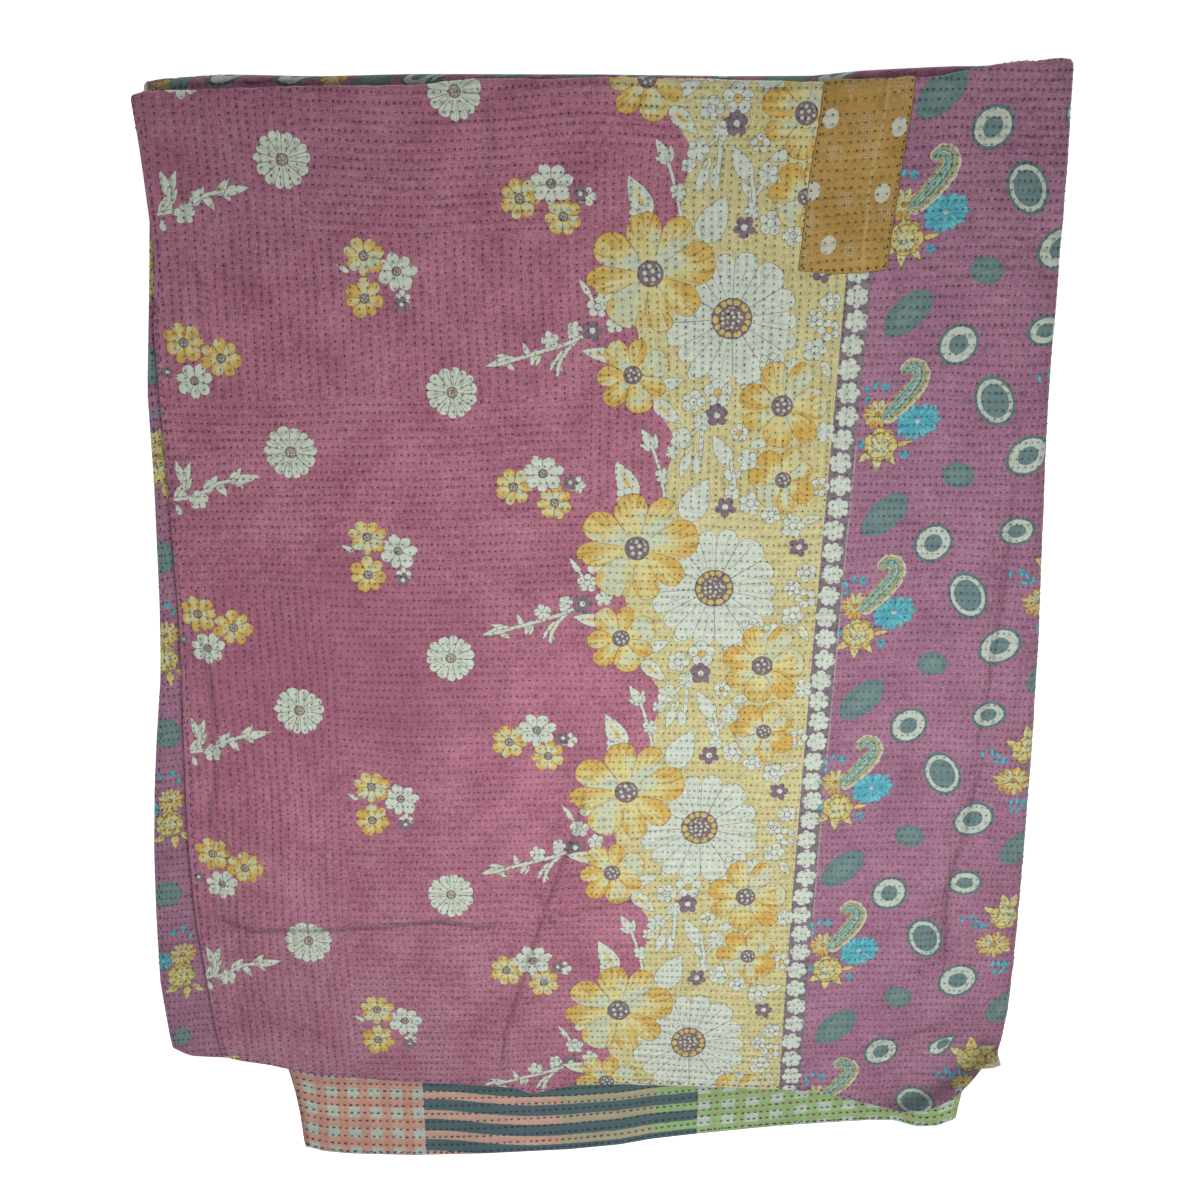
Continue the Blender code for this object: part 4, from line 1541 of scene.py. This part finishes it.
def makePrintedCotton(name, layers):
    # the ground of the print, with as many layers of motifs as are wanted
    material, tree, shader = newMaterial(name)
    flat = attribute(tree, "flat")
    x, y, _ = split(flat)
    intoBand, fromStrip, paintedHemShade = split(attribute(tree, "zones"))
    ragged = noise(tree, x * 0.45, y * 0.45)
    edge = (ragged - 0.5) * 2.0
    band = (intoBand + edge * 1.2).ramp(-0.3, 0.3)
    strip = (fromStrip + edge * 0.4 + 10.2).ramp(-0.2, 0.2)
    panel = (fromStrip + edge * 0.15 - 10.4).ramp(-0.15, 0.15)
    ground, shade = (paint(c) for c in printLook["rose"])
    for part, share in (("band", band), ("strip", strip), ("mauve", panel)):
        light, dark = (paint(c) for c in printLook[part])
        ground = tint(tree, share, ground, light)
        shade = tint(tree, share, shade, dark)
    worn = y.ramp(-180.0, -420.0) * x.ramp(60.0, -200.0)
    worn = worn * (ragged * 0.5 + 0.2)
    rosy = band < 0.5
    ground = tint(tree, worn * rosy, ground, paint(printLook["worn"]))
    mauver = y.ramp(180.0, 400.0) * x.ramp(-40.0, -260.0) * rosy
    ground = tint(tree, mauver * 0.5, ground, paint(printLook["mauver"]))
    deepX, deepY = (x + 229.0) / 150.0, (y + 60.0) / 110.0
    deeper = (deepX * deepX + deepY * deepY).ramp(1.2, 0.1) * rosy
    ground = tint(tree, deeper * (ragged * 0.5 + 0.45), ground,
                  paint(printLook["deep"]))
    woven = useGroup(
        tree, slubWeave, Flat=flat, Colour=ground, Shade=shade, Slub=0.65, Fading=0.55
    )
    colour = woven["Colour"]
    if layers:
        # the topmost motif that covers a place is the one printed there
        top = None
        for lay in reversed(range(layers)):
            at = attribute(tree, f"motif{lay}", "Color")
            form = attribute(tree, f"shape{lay}", "Color")
            inside = useGroup(
                tree, motifOutline, Place=at, Shape=form, Ragged=ragged
            )["Edge"]
            own = [
                at, form, attribute(tree, f"motif{lay}", "Alpha"),
                attribute(tree, f"shape{lay}", "Alpha"), inside,
            ]
            if top is None:
                top, most = own, inside
                continue
            chosen = inside > 0.0
            top = [choose(tree, chosen, a, b) for a, b in zip(top, own)]
            most = most.math("MAXIMUM", inside)
        printed = useGroup(
            tree, printedMotif, Place=top[0], Shape=top[1], Colouring=top[2],
            Centre=top[3], Edge=top[4], Flat=flat, Ragged=ragged,
        )["Colour"]
        colour = tint(tree, most.ramp(-0.22, 0.22), colour, printed)
    seam = abs(fromStrip + edge * 0.3 - 10.9).ramp(0.75, 0.35)
    seam = seam * y.ramp(150.0, 120.0) * y.ramp(-400.0, -250.0) * 0.7
    colour = tint(tree, seam, colour, paint(printLook["seam"]))
    relief = quilted(tree, Puff=0.65, Dimple=0.3, Ripple=1.1)
    # threads lighter on their crowns; painted highlight on the puckers and painted
    # shade in the dimples and hollows
    shadeAndWear = woven["Height"].ramp(0.30, 0.56) * 0.22 + 0.86
    shadeAndWear = shadeAndWear - relief["Dimple"] * 0.07 + (relief["Height"] - 0.3) * 0.1
    # painted shade along the bottoms of the creases pressed in hard
    fromCrease, sharp, _ = split(attribute(tree, "creased"))
    # painted shade inside the turned-up hem
    shadeAndWear = shadeAndWear * (1 - paintedHemShade * (ragged * 0.4 + 0.36))
    pinch = abs(fromCrease + edge * 0.8)
    shadeAndWear = shadeAndWear - pinch.ramp(2.8, 0.3) * sharp * 0.34
    hollow = pinch.ramp(6.0, 0.0) * sharp * -2.2
    ridge = abs(fromCrease - 7.0 + edge).ramp(6.0, 0.0) * sharp * 0.9
    colour = shaded(tree, colour, shadeAndWear)
    height = relief["Height"] + woven["Height"] * 0.25 + hollow + ridge
    rough = woven["Height"] * 0.08 + (printLook["roughness"] - 0.03)
    finishCloth(tree, shader, colour, height, rough)
    return material


# The reverse of the under-leaf is three cloths side by side. Colours are
# woven from a ground, a warp stripe and a weft stripe.
reverseLook = {
    "peach": ((206, 150, 134), (208, 176, 156), (190, 202, 188)),
    "stripes": ((208, 168, 152), (178, 170, 140), (152, 188, 130)),
    "slate": (84, 108, 112),
    "green": ((164, 180, 124), (154, 200, 134), (196, 208, 194)),
    "floral": ((206, 194, 134), (200, 208, 190)),
    "peachCheck": (21.4, -266.7, 24.3, 3.0),  # pitch and middle, across and up
    "greenCheck": (24.0, 103.4, 21.8, 16.0),
    "stripe": (24.4, 6.9),  # pitch, half width
    "seams": (-175.5, -39.3, 54.0, 97.1),
}


def makeReverseCotton():
    material, tree, shader = newMaterial("reverseCotton")
    x, up, kind = split(attribute(tree, "reverse"))
    flat = attribute(tree, "flat")
    soft = (noise(tree, x * 0.5, up * 0.5) - 0.5) * 1.6

    def bars(value, pitch, middle, half):
        # 1 within half of each bar's middle
        gap = ((value + soft - middle) / pitch + 0.5).math("FRACT")
        gap = abs(gap - 0.5) * pitch
        return gap.ramp(half + 0.3, half - 0.3)

    def check(look, pitchX, atX, pitchUp, atUp, lift=0.0):
        deep, plain, pale = (paint(c) for c in reverseLook[look])
        columns = bars(x, pitchX, atX, pitchX * 0.26)
        rows = bars(up - lift, pitchUp, atUp, pitchUp * 0.26)
        cloth = tint(tree, columns * 0.5 + rows * 0.5, deep, plain)
        return tint(tree, columns * rows, cloth, pale)

    seams = reverseLook["seams"]
    pitch, half = reverseLook["stripe"]
    first, second, third = (paint(c) for c in reverseLook["stripes"])
    ground = tint(tree, (x + soft).ramp(seams[1] - 2, seams[1] + 2), first, second)
    ground = tint(tree, (x + soft).ramp(seams[2] - 4, seams[2] + 4), ground, third)
    lean = x.ramp(-60.0, -175.0) * 12.0 + 1.5
    slate = bars(up - lean, pitch, 0.0, half)
    stripes = tint(tree, slate, ground, paint(reverseLook["slate"]))
    colour = check("peach", *reverseLook["peachCheck"])
    colour = tint(tree, x.ramp(seams[0] - 0.4, seams[0] + 0.4), colour, stripes)
    green = check("green", *reverseLook["greenCheck"], x.ramp(150.0, 220.0) * 8.0)
    colour = tint(tree, x.ramp(seams[3] - 0.4, seams[3] + 0.4), colour, green)
    yellow, white = (paint(c) for c in reverseLook["floral"])
    bloom = noise(tree, x * 0.09, up * 0.09, rough=0.5)
    floral = tint(tree, bloom.ramp(0.54, 0.56), yellow, white)
    line = abs(bloom - 0.55).ramp(0.016, 0.006)
    floral = tint(tree, line, floral, paint((120, 104, 112)))
    colour = tint(tree, kind > 1.5, colour, floral)
    woven = useGroup(
        tree, slubWeave, Flat=flat, Colour=(1.0, 1.0, 1.0), Shade=(0.82, 0.82, 0.82),
        Slub=0.8, Fading=0.8,
    )
    colour = tint(tree, 1.0, colour, woven["Colour"], "MULTIPLY")
    relief = quilted(tree, Puff=0.5, Dimple=0.5, Ripple=0.45)
    # painted shade in the dimples
    colour = shaded(tree, colour, 1 - relief["Dimple"] * 0.2)
    height = relief["Height"] + woven["Height"] * 0.3
    finishCloth(tree, shader, colour, height, woven["Height"] * 0.08 + 0.9)
    return material


# faces with few motifs on them take a simpler material
quiltMesh.materials.append(makePrintedCotton("printedBunches", layers))
quiltMesh.materials.append(makeReverseCotton())
for n, name in enumerate(("printedGround", "printedCotton", "printedOverlaps")):
    quiltMesh.materials.append(makePrintedCotton(name, n))
slots = np.array([2, 3, 4, 0, 0])[filled]  # by how many motifs a face has
quiltMesh.polygons.foreach_set(
    "material_index", np.r_[slots, np.ones(len(reverse), int)]
)
print("faces with 0 to 4 motifs", np.bincount(filled))
leaf = np.where(under, 1.0, np.where(shareS > 0.99, 2.0, 1.0))
keepVector(quiltMesh, "reverse", atPoints(layX, reverseUp, leaf))
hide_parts("quilt")
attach(quiltCloth, "root")
print("cloth dressed")


# The ochre patch: a thin cloth laid over the front and its top fold.
patch = {
    "corners": ((160, 282), (232, 288), (245, 424), (174, 422)),
    "size": (72, 142),
    "bow": (0, 0.5, 1.5, 1, 0),  # of its left side, bottom to top
    "lap": 0.42,  # how far round the top bend it goes
    "lift": 0.3,
    "thick": 0.9,
    "cells": (30, 58),
    "ochre": ((188, 154, 88), (162, 128, 66)),
    "worn": (196, 172, 120),
    "dot": (196, 196, 180),
    # middles of the white dots in the layout, and how far across they are
    "dots": ((180, 399), (234, 393), (168.6, 344), (224.3, 342.5), (183.4, 302)),
    "dotSize": (6.2, 7.6),
    # middles of the clusters of pin dots
    "clusters": (
        (195, 420), (233, 420), (209, 396), (185, 374), (211, 373), (195, 337),
        (168, 321), (201, 300), (166, 293), (228, 328),
    ),
    "line": ((226, 430), (220, 390), (214, 352), (212, 285)),  # a pale line
}


def patchPlace(u, v):
    # layout coordinates of shares across and up the patch
    (ax, ay), (bx, by), (cx, cy), (dx, dy) = patch["corners"]
    bow = np.interp(v, np.linspace(0, 1, 5), patch["bow"]) * (1 - u)
    x = mix(mix(ax, bx, u), mix(dx, cx, u), v) - bow
    y = mix(mix(ay, by, u), mix(dy, cy, u), v) - u * (19 - 14 * u) * (1 - v) ** 6
    return x, y


edges = [0, 0.006, 0.018, 0.034]
acrossPatch = np.r_[edges, np.linspace(0.055, 0.945, patch["cells"][0]),
                    [1 - e for e in edges[::-1]]]
upPatch = np.r_[[e / 2 for e in edges], np.linspace(0.03, 0.985, patch["cells"][1]),
                [1 - e / 3 for e in edges[2::-1]]]
patchU, patchV = np.meshgrid(acrossPatch, upPatch, indexing="ij")
fray = noiseField(41, (1.4, 1.4))
patchX, patchY = patchPlace(patchU, patchV)
wide, tall = patch["size"]
rimmed = np.minimum(
    np.minimum(patchU, 1 - patchU) * wide, np.minimum(patchV, 1 - patchV) * tall
)
patchX = patchX + fray(patchX, patchY) * 0.45 * (rimmed < 0.5)
patchY = patchY + fray(patchY, patchX) * 0.45 * (rimmed < 0.5)
patchS, patchR = shareOf(patchX, patchY)
bend = quilt["topBend"]
toTop = np.clip((patchV - 0.90) / 0.10, 0, 1)
patchR = mix(patchR, 1 - bend + 2 * bend * patch["lap"], toTop)


def onCloth(values, s, r):
    # what the cloth's mesh has at (s, r)
    i = np.clip(np.searchsorted(acrossLines, s) - 1, 0, nS - 2)
    j = np.clip(np.searchsorted(alongLines, r) - 1, 0, nR - 2)
    a = (s - acrossLines[i]) / (acrossLines[i + 1] - acrossLines[i])
    b = (r - alongLines[j]) / (alongLines[j + 1] - alongLines[j])
    a, b = a[..., None], b[..., None]
    return mix(mix(values[i, j], values[i + 1, j], a),
               mix(values[i, j + 1], values[i + 1, j + 1], a), b)


base = onCloth(faceA, patchS, patchR)
patchNormal = onCloth(clothNormal, patchS, patchR)
patchNormal /= np.linalg.norm(patchNormal, axis=-1, keepdims=True)
puckers = noiseField(42, (16, 5.0))(patchX, patchY) * 0.4 + 0.25
body = np.sqrt(1 - np.clip(1 - rimmed / 0.9, 0, 1) ** 2)
topFace = base + patchNormal * (
    patch["lift"] + (patch["thick"] + puckers) * body
)[..., None]
lowFace = base + patchNormal * patch["lift"] * 0.3
nU, nV = patchU.shape
topIndex = np.arange(nU * nV).reshape(nU, nV)
lowIndex = topIndex.copy()
lowIndex[1:-1, 1:-1] = nU * nV + np.arange((nU - 2) * (nV - 2)).reshape(nU - 2, nV - 2)
patchMesh = bpy.data.meshes.new("ochrePatch")
patchMesh.from_pydata(
    (np.concatenate([topFace.reshape(-1, 3), lowFace[1:-1, 1:-1].reshape(-1, 3)])
     * mm).tolist(), [],
    cellCorners(topIndex).tolist() + cellCorners(lowIndex)[:, ::-1].tolist(),
)
patchMesh.shade_smooth()


def keepOnPatch(name, *values):
    inside = np.indices((nU - 2, nV - 2)).reshape(2, -1) + 1
    keepVector(patchMesh, name, atPoints(*values, inside=inside))


# distance to the nearest white dot, whose edge is at 1
dotX, dotY = patch["dotSize"]
fromDot = np.min([
    np.hypot((patchX - x) / dotX - 0.15 * (patchY - y) / dotY, (patchY - y) / dotY)
    for x, y in patch["dots"]
], axis=0)
clusters = sum(
    near(np.hypot(patchX - x, (patchY - y) * 0.8), 8.5) for x, y in patch["clusters"]
)
fromLine = toLine(patchX, patchY, patch["line"])[0]
keepOnPatch("patchDots", fromDot, clusters, 0)
keepOnPatch("patchLineAndRim", fromLine, rimmed, 0)
keepOnPatch("flat", patchX, patchY, 0)


def patchPhase(x, y):
    along = (x + 3 * waverNoise[2](x, y)) / sewing["patchPitch"]
    return along, (y - 0.06 * x + 2 * waverNoise[0](x, y)) / sewing["patchGap"]


keepOnPatch("quilting", *patchPhase(patchX, patchY), 0)


def makeOchreCotton():
    material, tree, shader = newMaterial("ochreCotton")
    flat = attribute(tree, "flat")
    x, y, _ = split(flat)
    fromDot, cluster, _ = split(attribute(tree, "patchDots"))
    fromLine, fromEdge, _ = split(attribute(tree, "patchLineAndRim"))
    woven = useGroup(
        tree, slubWeave, Flat=flat, Colour=paint(patch["ochre"][0]),
        Shade=paint(patch["ochre"][1]), Slub=0.8, Fading=0.8,
    )
    ragged = noise(tree, x * 0.7, y * 0.7) - 0.5
    pin = dots(tree, x / 2.1, y / 2.1, 0.25).ramp(0.34, 0.2)
    colour = tint(tree, pin * (cluster + ragged).ramp(0.45, 0.8) * 0.6,
                  woven["Colour"], paint(patch["dot"]))
    colour = tint(tree, (fromLine + ragged * 2).ramp(1.7, 0.9) * 0.55, colour,
                  paint(patch["worn"]))
    dot = tint(tree, pin * 0.4, paint(patch["dot"]), paint((214, 216, 204)))
    colour = tint(tree, (fromDot + ragged * 0.12).ramp(1.04, 0.94), colour, dot)
    relief = quilted(tree, Puff=0.4, Dimple=0.4, Ripple=0.7)
    # painted shade in the dimples and along the patch's rim
    shade = 1 - relief["Dimple"] * 0.12 - (fromEdge + ragged).ramp(1.6, 0.3) * 0.35
    colour = shaded(tree, colour, shade)
    height = relief["Height"] + woven["Height"] * 0.3
    finishCloth(tree, shader, colour, height, woven["Height"] * 0.08 + 0.88)
    return material


patchMesh.materials.append(makeOchreCotton())
ochrePatch = addObject("ochrePatch", patchMesh)
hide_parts("ochre_patch")
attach(ochrePatch, "root")
print("patch laid", nU * nV, "points")


# Each stitch on top is a short grain of thread, half sunk.
grain = np.array([
    (-0.5, 0, -0.3), (-0.26, -0.5, -0.3), (0.26, -0.5, -0.3), (0.5, 0, -0.3),
    (0.26, 0.5, -0.3), (-0.26, 0.5, -0.3), (-0.28, 0, 0.5), (0.28, 0, 0.5),
])
grainFaces = [
    (0, 1, 6), (1, 2, 7, 6), (2, 3, 7), (3, 4, 7), (4, 5, 6, 7), (5, 0, 6),
]
stitches = []  # (middle, along, up, length, thick, colour) arrays


def addStitches(at, along, up, length, thick, colour):
    along = along / np.linalg.norm(along, axis=-1, keepdims=True)
    up = up / np.linalg.norm(up, axis=-1, keepdims=True)
    stitches.append((
        at, along, up, np.broadcast_to(length, len(at)),
        np.broadcast_to(thick, len(at)), colour,
    ))


def finer(values, lines, step, long):
    # the grid with its second axis cut finer, each cell staying flat
    count = int(round((lines[-1] - lines[0]) * long / step)) + 1
    new = np.linspace(lines[0], lines[-1], count)
    at = np.interp(new, lines, np.arange(len(lines)))
    low = np.minimum(at.astype(int), len(lines) - 2)
    share = (at - low)[:, None] if values.ndim == 3 else at - low
    return mix(values[:, low], values[:, low + 1], share)


def sewOn(surface, normals, gridX, gridY, colourAt, where=None, phase=None, size=1):
    # one stitch wherever the rows' count and the count along them both pass a
    # half inside a cell
    def corners(values):
        return values[:-1, :-1], values[1:, :-1], values[:-1, 1:]

    midX = (gridX[:-1, :-1] + gridX[1:, 1:]) / 2
    midY = (gridY[:-1, :-1] + gridY[1:, 1:]) / 2
    upright = sewnUpright(midX, midY)
    panel = midX > stripAt(midY)
    phases = [
        phase(x, y) if phase else stitchPhase(x, y, upright, panel)
        for x, y in zip(corners(gridX), corners(gridY))
    ]
    (a0, r0), (aS, rS), (aR, rR) = phases
    midRow = (rS + rR) / 2
    midAlong = (aS + aR) / 2
    for rowShift in (0, -1, 1):
        line = np.floor(midRow) + rowShift
        offset = np.sin(line * 1.3) * 0.16
        for alongShift in (0, -1, 1):
            wantRow = line + 0.5
            wantAlong = np.floor(midAlong + offset) + alongShift + 0.5 - offset
            m11, m12, m21, m22 = aS - a0, aR - a0, rS - r0, rR - r0
            det = m11 * m22 - m12 * m21
            det = np.where(abs(det) < 1e-9, 1e-9, det)
            u = ((wantAlong - a0) * m22 - (wantRow - r0) * m12) / det
            v = ((wantRow - r0) * m11 - (wantAlong - a0) * m21) / det
            hit = (u >= 0) & (u < 1) & (v >= 0) & (v < 1)
            if where:
                hit = hit & where(midX, midY)
            i, j = np.nonzero(hit)
            if not len(i):
                continue
            u, v = u[hit][:, None], v[hit][:, None]
            at = mix(
                mix(surface[i, j], surface[i + 1, j], u),
                mix(surface[i, j + 1], surface[i + 1, j + 1], u), v,
            )
            sideS = surface[i + 1, j] - surface[i, j]
            sideR = surface[i, j + 1] - surface[i, j]
            # the way in which only the count along grows
            way = sideS * m22[hit][:, None] - sideR * m21[hit][:, None]
            rng = np.random.default_rng(8 + len(i) + rowShift * 7 + alongShift)
            way = way / np.linalg.norm(way, axis=-1, keepdims=True)
            turn = rng.normal(0, 0.16, (len(i), 1))
            way = way + turn * np.cross(normals[i, j], way)
            at = at + way * rng.normal(0, 0.35, (len(i), 1))
            length = sewing["stitch"] * rng.uniform(*sewing["spread"], len(i)) * size
            keep = rng.uniform(0, 1, len(i)) > 0.012
            addStitches(
                at[keep], way[keep], normals[i, j][keep], length[keep],
                sewing["thick"] * rng.uniform(0.85, 1.25, len(i))[keep] * size**0.2,
                colourAt(midX[hit], midY[hit], line[hit], rng)[keep],
            )


toneNoise = noiseField(21, (140, 60))


def frontThread(x, y, line, rng):
    toMaroon = stepUp((60 - y + 90 * toneNoise(x, y)) / 110)[:, None]
    colour = mix(
        np.array(paint(sewing["dark"])), np.array(paint(sewing["maroon"])), toMaroon
    )
    blue = np.modf(np.abs(np.sin(line * 12.9898 + 4.1) * 437.58))[0] < 0.035
    colour = np.where(blue[:, None], paint(sewing["blue"]), colour)
    return colour * rng.uniform(0.8, 1.25, (len(x), 1))


def besidePatch(x, y):
    # whether a place is clear of the patch, which laps the fold at its top
    corners = np.array(patch["corners"], float)
    inside = np.ones(np.shape(x), bool)
    for (ax, ay), (bx, by) in zip(corners, np.roll(corners, -1, axis=0)):
        lies = (bx - ax) * (y - ay) - (by - ay) * (x - ax) > 0
        inside = inside & (lies | ((ay > 400) & (by > 400)))
    return ~inside


def plainThread(colour, brightest):
    # the same thread everywhere, each stitch a little lighter or darker
    return lambda x, y, line, rng: (
        np.array(paint(sewing[colour])) * rng.uniform(0.7, brightest, (len(x), 1))
    )


# the front with its folds, the patch, then the strip of the leaf underneath
clothGrids = faceA, clothNormal, flatX, flatY
shown = np.s_[:foldAt + 9, :topAt + 9]
sewOn(*(grid[shown] for grid in clothGrids), frontThread, besidePatch)
shown = np.s_[4:-4, 3:-2]
sewOn(
    *(grid[shown] for grid in (topFace, patchNormal, patchX, patchY)),
    plainThread("black", 1.5), phase=patchPhase,
)
shown = np.s_[int(np.argmin(abs(acrossLines - 1.915))):, topAt + 2:]
sewOn(*(
    finer(grid[shown], alongLines[topAt + 2:], 3.8, quilt["along"])
    for grid in clothGrids
), frontThread)
print("front stitched", sum(len(s[0]) for s in stitches))

# the reverse of the under-leaf, below the front's hem
coarseS, coarseR = np.array(backS), np.array(backR)
rows = coarseR[alongLines[coarseR] > 1.82]
columns = coarseS[acrossLines[coarseS] < 0.985]
pieces = []
for grid in (faceB, -clothNormal, layX, reverseUp):
    part = finer(grid[np.ix_(columns, rows)], alongLines[rows], 3.0, quilt["along"])
    part = np.swapaxes(part, 0, 1)
    pieces.append(finer(part, acrossLines[columns], 3.2, quilt["across"]))
sewOn(
    *pieces, plainThread("reverse", 1.3), lambda x, up: up > 3.0, reversePhase,
    sewing["reverseSize"],
)


def sewLine(face, normals, i, j, pitch, length, colour, seed):
    # thread along one line of a grid, i across it and j up it
    points, normals = face[i, j], normals[i, j]
    rng = np.random.default_rng(seed)
    steps = np.linalg.norm(np.diff(points, axis=0), axis=1)
    run = np.r_[0, np.cumsum(steps)]
    at = np.arange(pitch / 2, run[-1], pitch)
    at = at + rng.uniform(-0.15, 0.15, len(at)) * pitch
    middles = np.stack([np.interp(at, run, points[:, k]) for k in range(3)], -1)
    ups = np.stack([np.interp(at, run, normals[:, k]) for k in range(3)], -1)
    ahead = np.stack([np.interp(at + 0.5, run, points[:, k]) for k in range(3)], -1)
    colours = np.array(paint(sewing[colour])) * rng.uniform(0.75, 1.3, (len(at), 1))
    addStitches(
        middles, ahead - middles, ups, length * rng.uniform(0.7, 1.15, len(at)),
        sewing["thick"] * 1.25, colours,
    )


# the patch's edges, then the hems and free edges, near the rim
edgeS, farS = (
    int(np.argmin(abs(share * quilt["across"] - sewing["hemIn"])))
    for share in (acrossLines, 2 - acrossLines)
)
edgeR, farR = (
    int(np.argmin(abs(share * quilt["along"] - sewing["hemIn"])))
    for share in (alongLines, 2 - alongLines)
)
for i, j in ((3, slice(2, -2)), (-4, slice(2, -2)), (slice(2, -2), 3)):
    sewLine(topFace, patchNormal, i, j, 6.4, 2.8, "black", 35)
sewLine(faceA, clothNormal, edgeS, slice(topAt), 10.5, 5.2, "blue", 31)
sewLine(faceA, clothNormal, slice(foldAt), edgeR, 10.5, 4.0, "blue", 32)
sewLine(faceA, clothNormal, farS, slice(topAt + 6, None), 11, 4.6, "blue", 33)
sewLine(faceB, -clothNormal, columns, farR, 8.0, 4.2, "blue", 34)

at, way, up, length, thick, colour = (
    np.concatenate([s[k] for s in stitches]) for k in range(6)
)
clear = at[:, 2] > sewing["floorGap"]
at, way, up, length, thick, colour = (
    values[clear] for values in (at, way, up, length, thick, colour)
)
side = np.cross(up, way)
side /= np.linalg.norm(side, axis=-1, keepdims=True)
grains = (
    at[:, None]
    + way[:, None] * (grain[:, 0] * length[:, None])[..., None]
    + side[:, None] * (grain[:, 1] * thick[:, None])[..., None]
    + up[:, None] * (grain[:, 2] * thick[:, None])[..., None]
)
stitchMesh = bpy.data.meshes.new("runningStitches")
stitchMesh.from_pydata(
    (grains.reshape(-1, 3) * mm).tolist(), [],
    [tuple(8 * k + v for v in face) for k in range(len(at)) for face in grainFaces],
)
stitchMesh.shade_smooth()
keepVector(
    stitchMesh, "thread",
    np.repeat(np.c_[colour, np.ones(len(at))], 8, axis=0),
)
runningStitches = addObject("runningStitches", stitchMesh)
cotton, tree, shader = newMaterial("sewingThread")
tone = attribute(tree, "thread", "Color")
place = tree.nodes.new("ShaderNodeTexCoord")
px, py, pz = split(Wire(tree, place.outputs["Object"]))
twist = noise(tree, px * 1400 + pz * 900, py * 1400)
plug(tree, shaded(tree, tone, twist * 0.7 + 0.65), shader.inputs["Base Color"])
plug(tree, twist * 0.2 + 0.65, shader.inputs["Roughness"])
stitchMesh.materials.append(cotton)
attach(runningStitches, "root")
print("stitches", len(at), "triangles", 8 * len(at))


# The floor, the light and the camera.
stage = {
    "floor": (0.93, 0.93, 0.93),
    "glow": 0.8,  # keeps the paper white out to its corners
    "camera": (0.01539, 0.50213, 1.25044),
    "tilt": 19.0,  # degrees from straight down, the top edge nearer
    "lens": 44.91,
    # energy and place of each light
    "overhead": (6.0, (0.12, -0.1, 0.85)),
    "window": (0.55, (-0.7, -0.75, 0.6)),
    "door": (0.6, (0.35, 1.0, 0.75)),
    "sky": 0.13,
}
floorMesh = bpy.data.meshes.new("floor")
floorMesh.from_pydata(
    [(-6, -6, 0), (6, -6, 0), (6, 6, 0), (-6, 6, 0)], [], [(0, 1, 2, 3)]
)
floor = addObject("floor", floorMesh)
floorPaint, _, paper = newMaterial("palePaper")
paper.inputs["Base Color"].default_value = (*stage["floor"], 1)
paper.inputs["Roughness"].default_value = 0.9
paper.inputs["Specular IOR Level"].default_value = 0.1
paper.inputs["Emission Color"].default_value = (1, 1, 1, 1)
paper.inputs["Emission Strength"].default_value = stage["glow"]
floorMesh.materials.append(floorPaint)


def addLight(name, kind, aim):
    lamp = bpy.data.lights.new(name, kind)
    lamp.energy, place = stage[name]
    light = addObject(name, lamp)
    light.location = place
    turn = mathutils.Vector(aim) - mathutils.Vector(place)
    light.rotation_euler = turn.to_track_quat("-Z", "Y").to_euler()
    light.visible_camera = False
    return lamp


addLight("overhead", "AREA", (0.12, -0.1, 0)).size = 0.5
for name in ("window", "door"):
    addLight(name, "SUN", (0, 0, 0)).angle = math.radians(10)
sky = bpy.data.worlds.new("studio")
sky.use_nodes = True
background = sky.node_tree.nodes["Background"]
background.inputs["Color"].default_value = (1, 1, 1, 1)
background.inputs["Strength"].default_value = stage["sky"]
bpy.context.scene.world = sky
bpy.context.scene.view_settings.view_transform = "Standard"

lens = bpy.data.cameras.new("camera")
lens.lens = stage["lens"]
lens.sensor_width = 36
camera = addObject("camera", lens)
camera.location = stage["camera"]
camera.rotation_euler = (math.radians(-stage["tilt"]), 0, 0)
bpy.context.scene.camera = camera

bpy.context.view_layer.update()
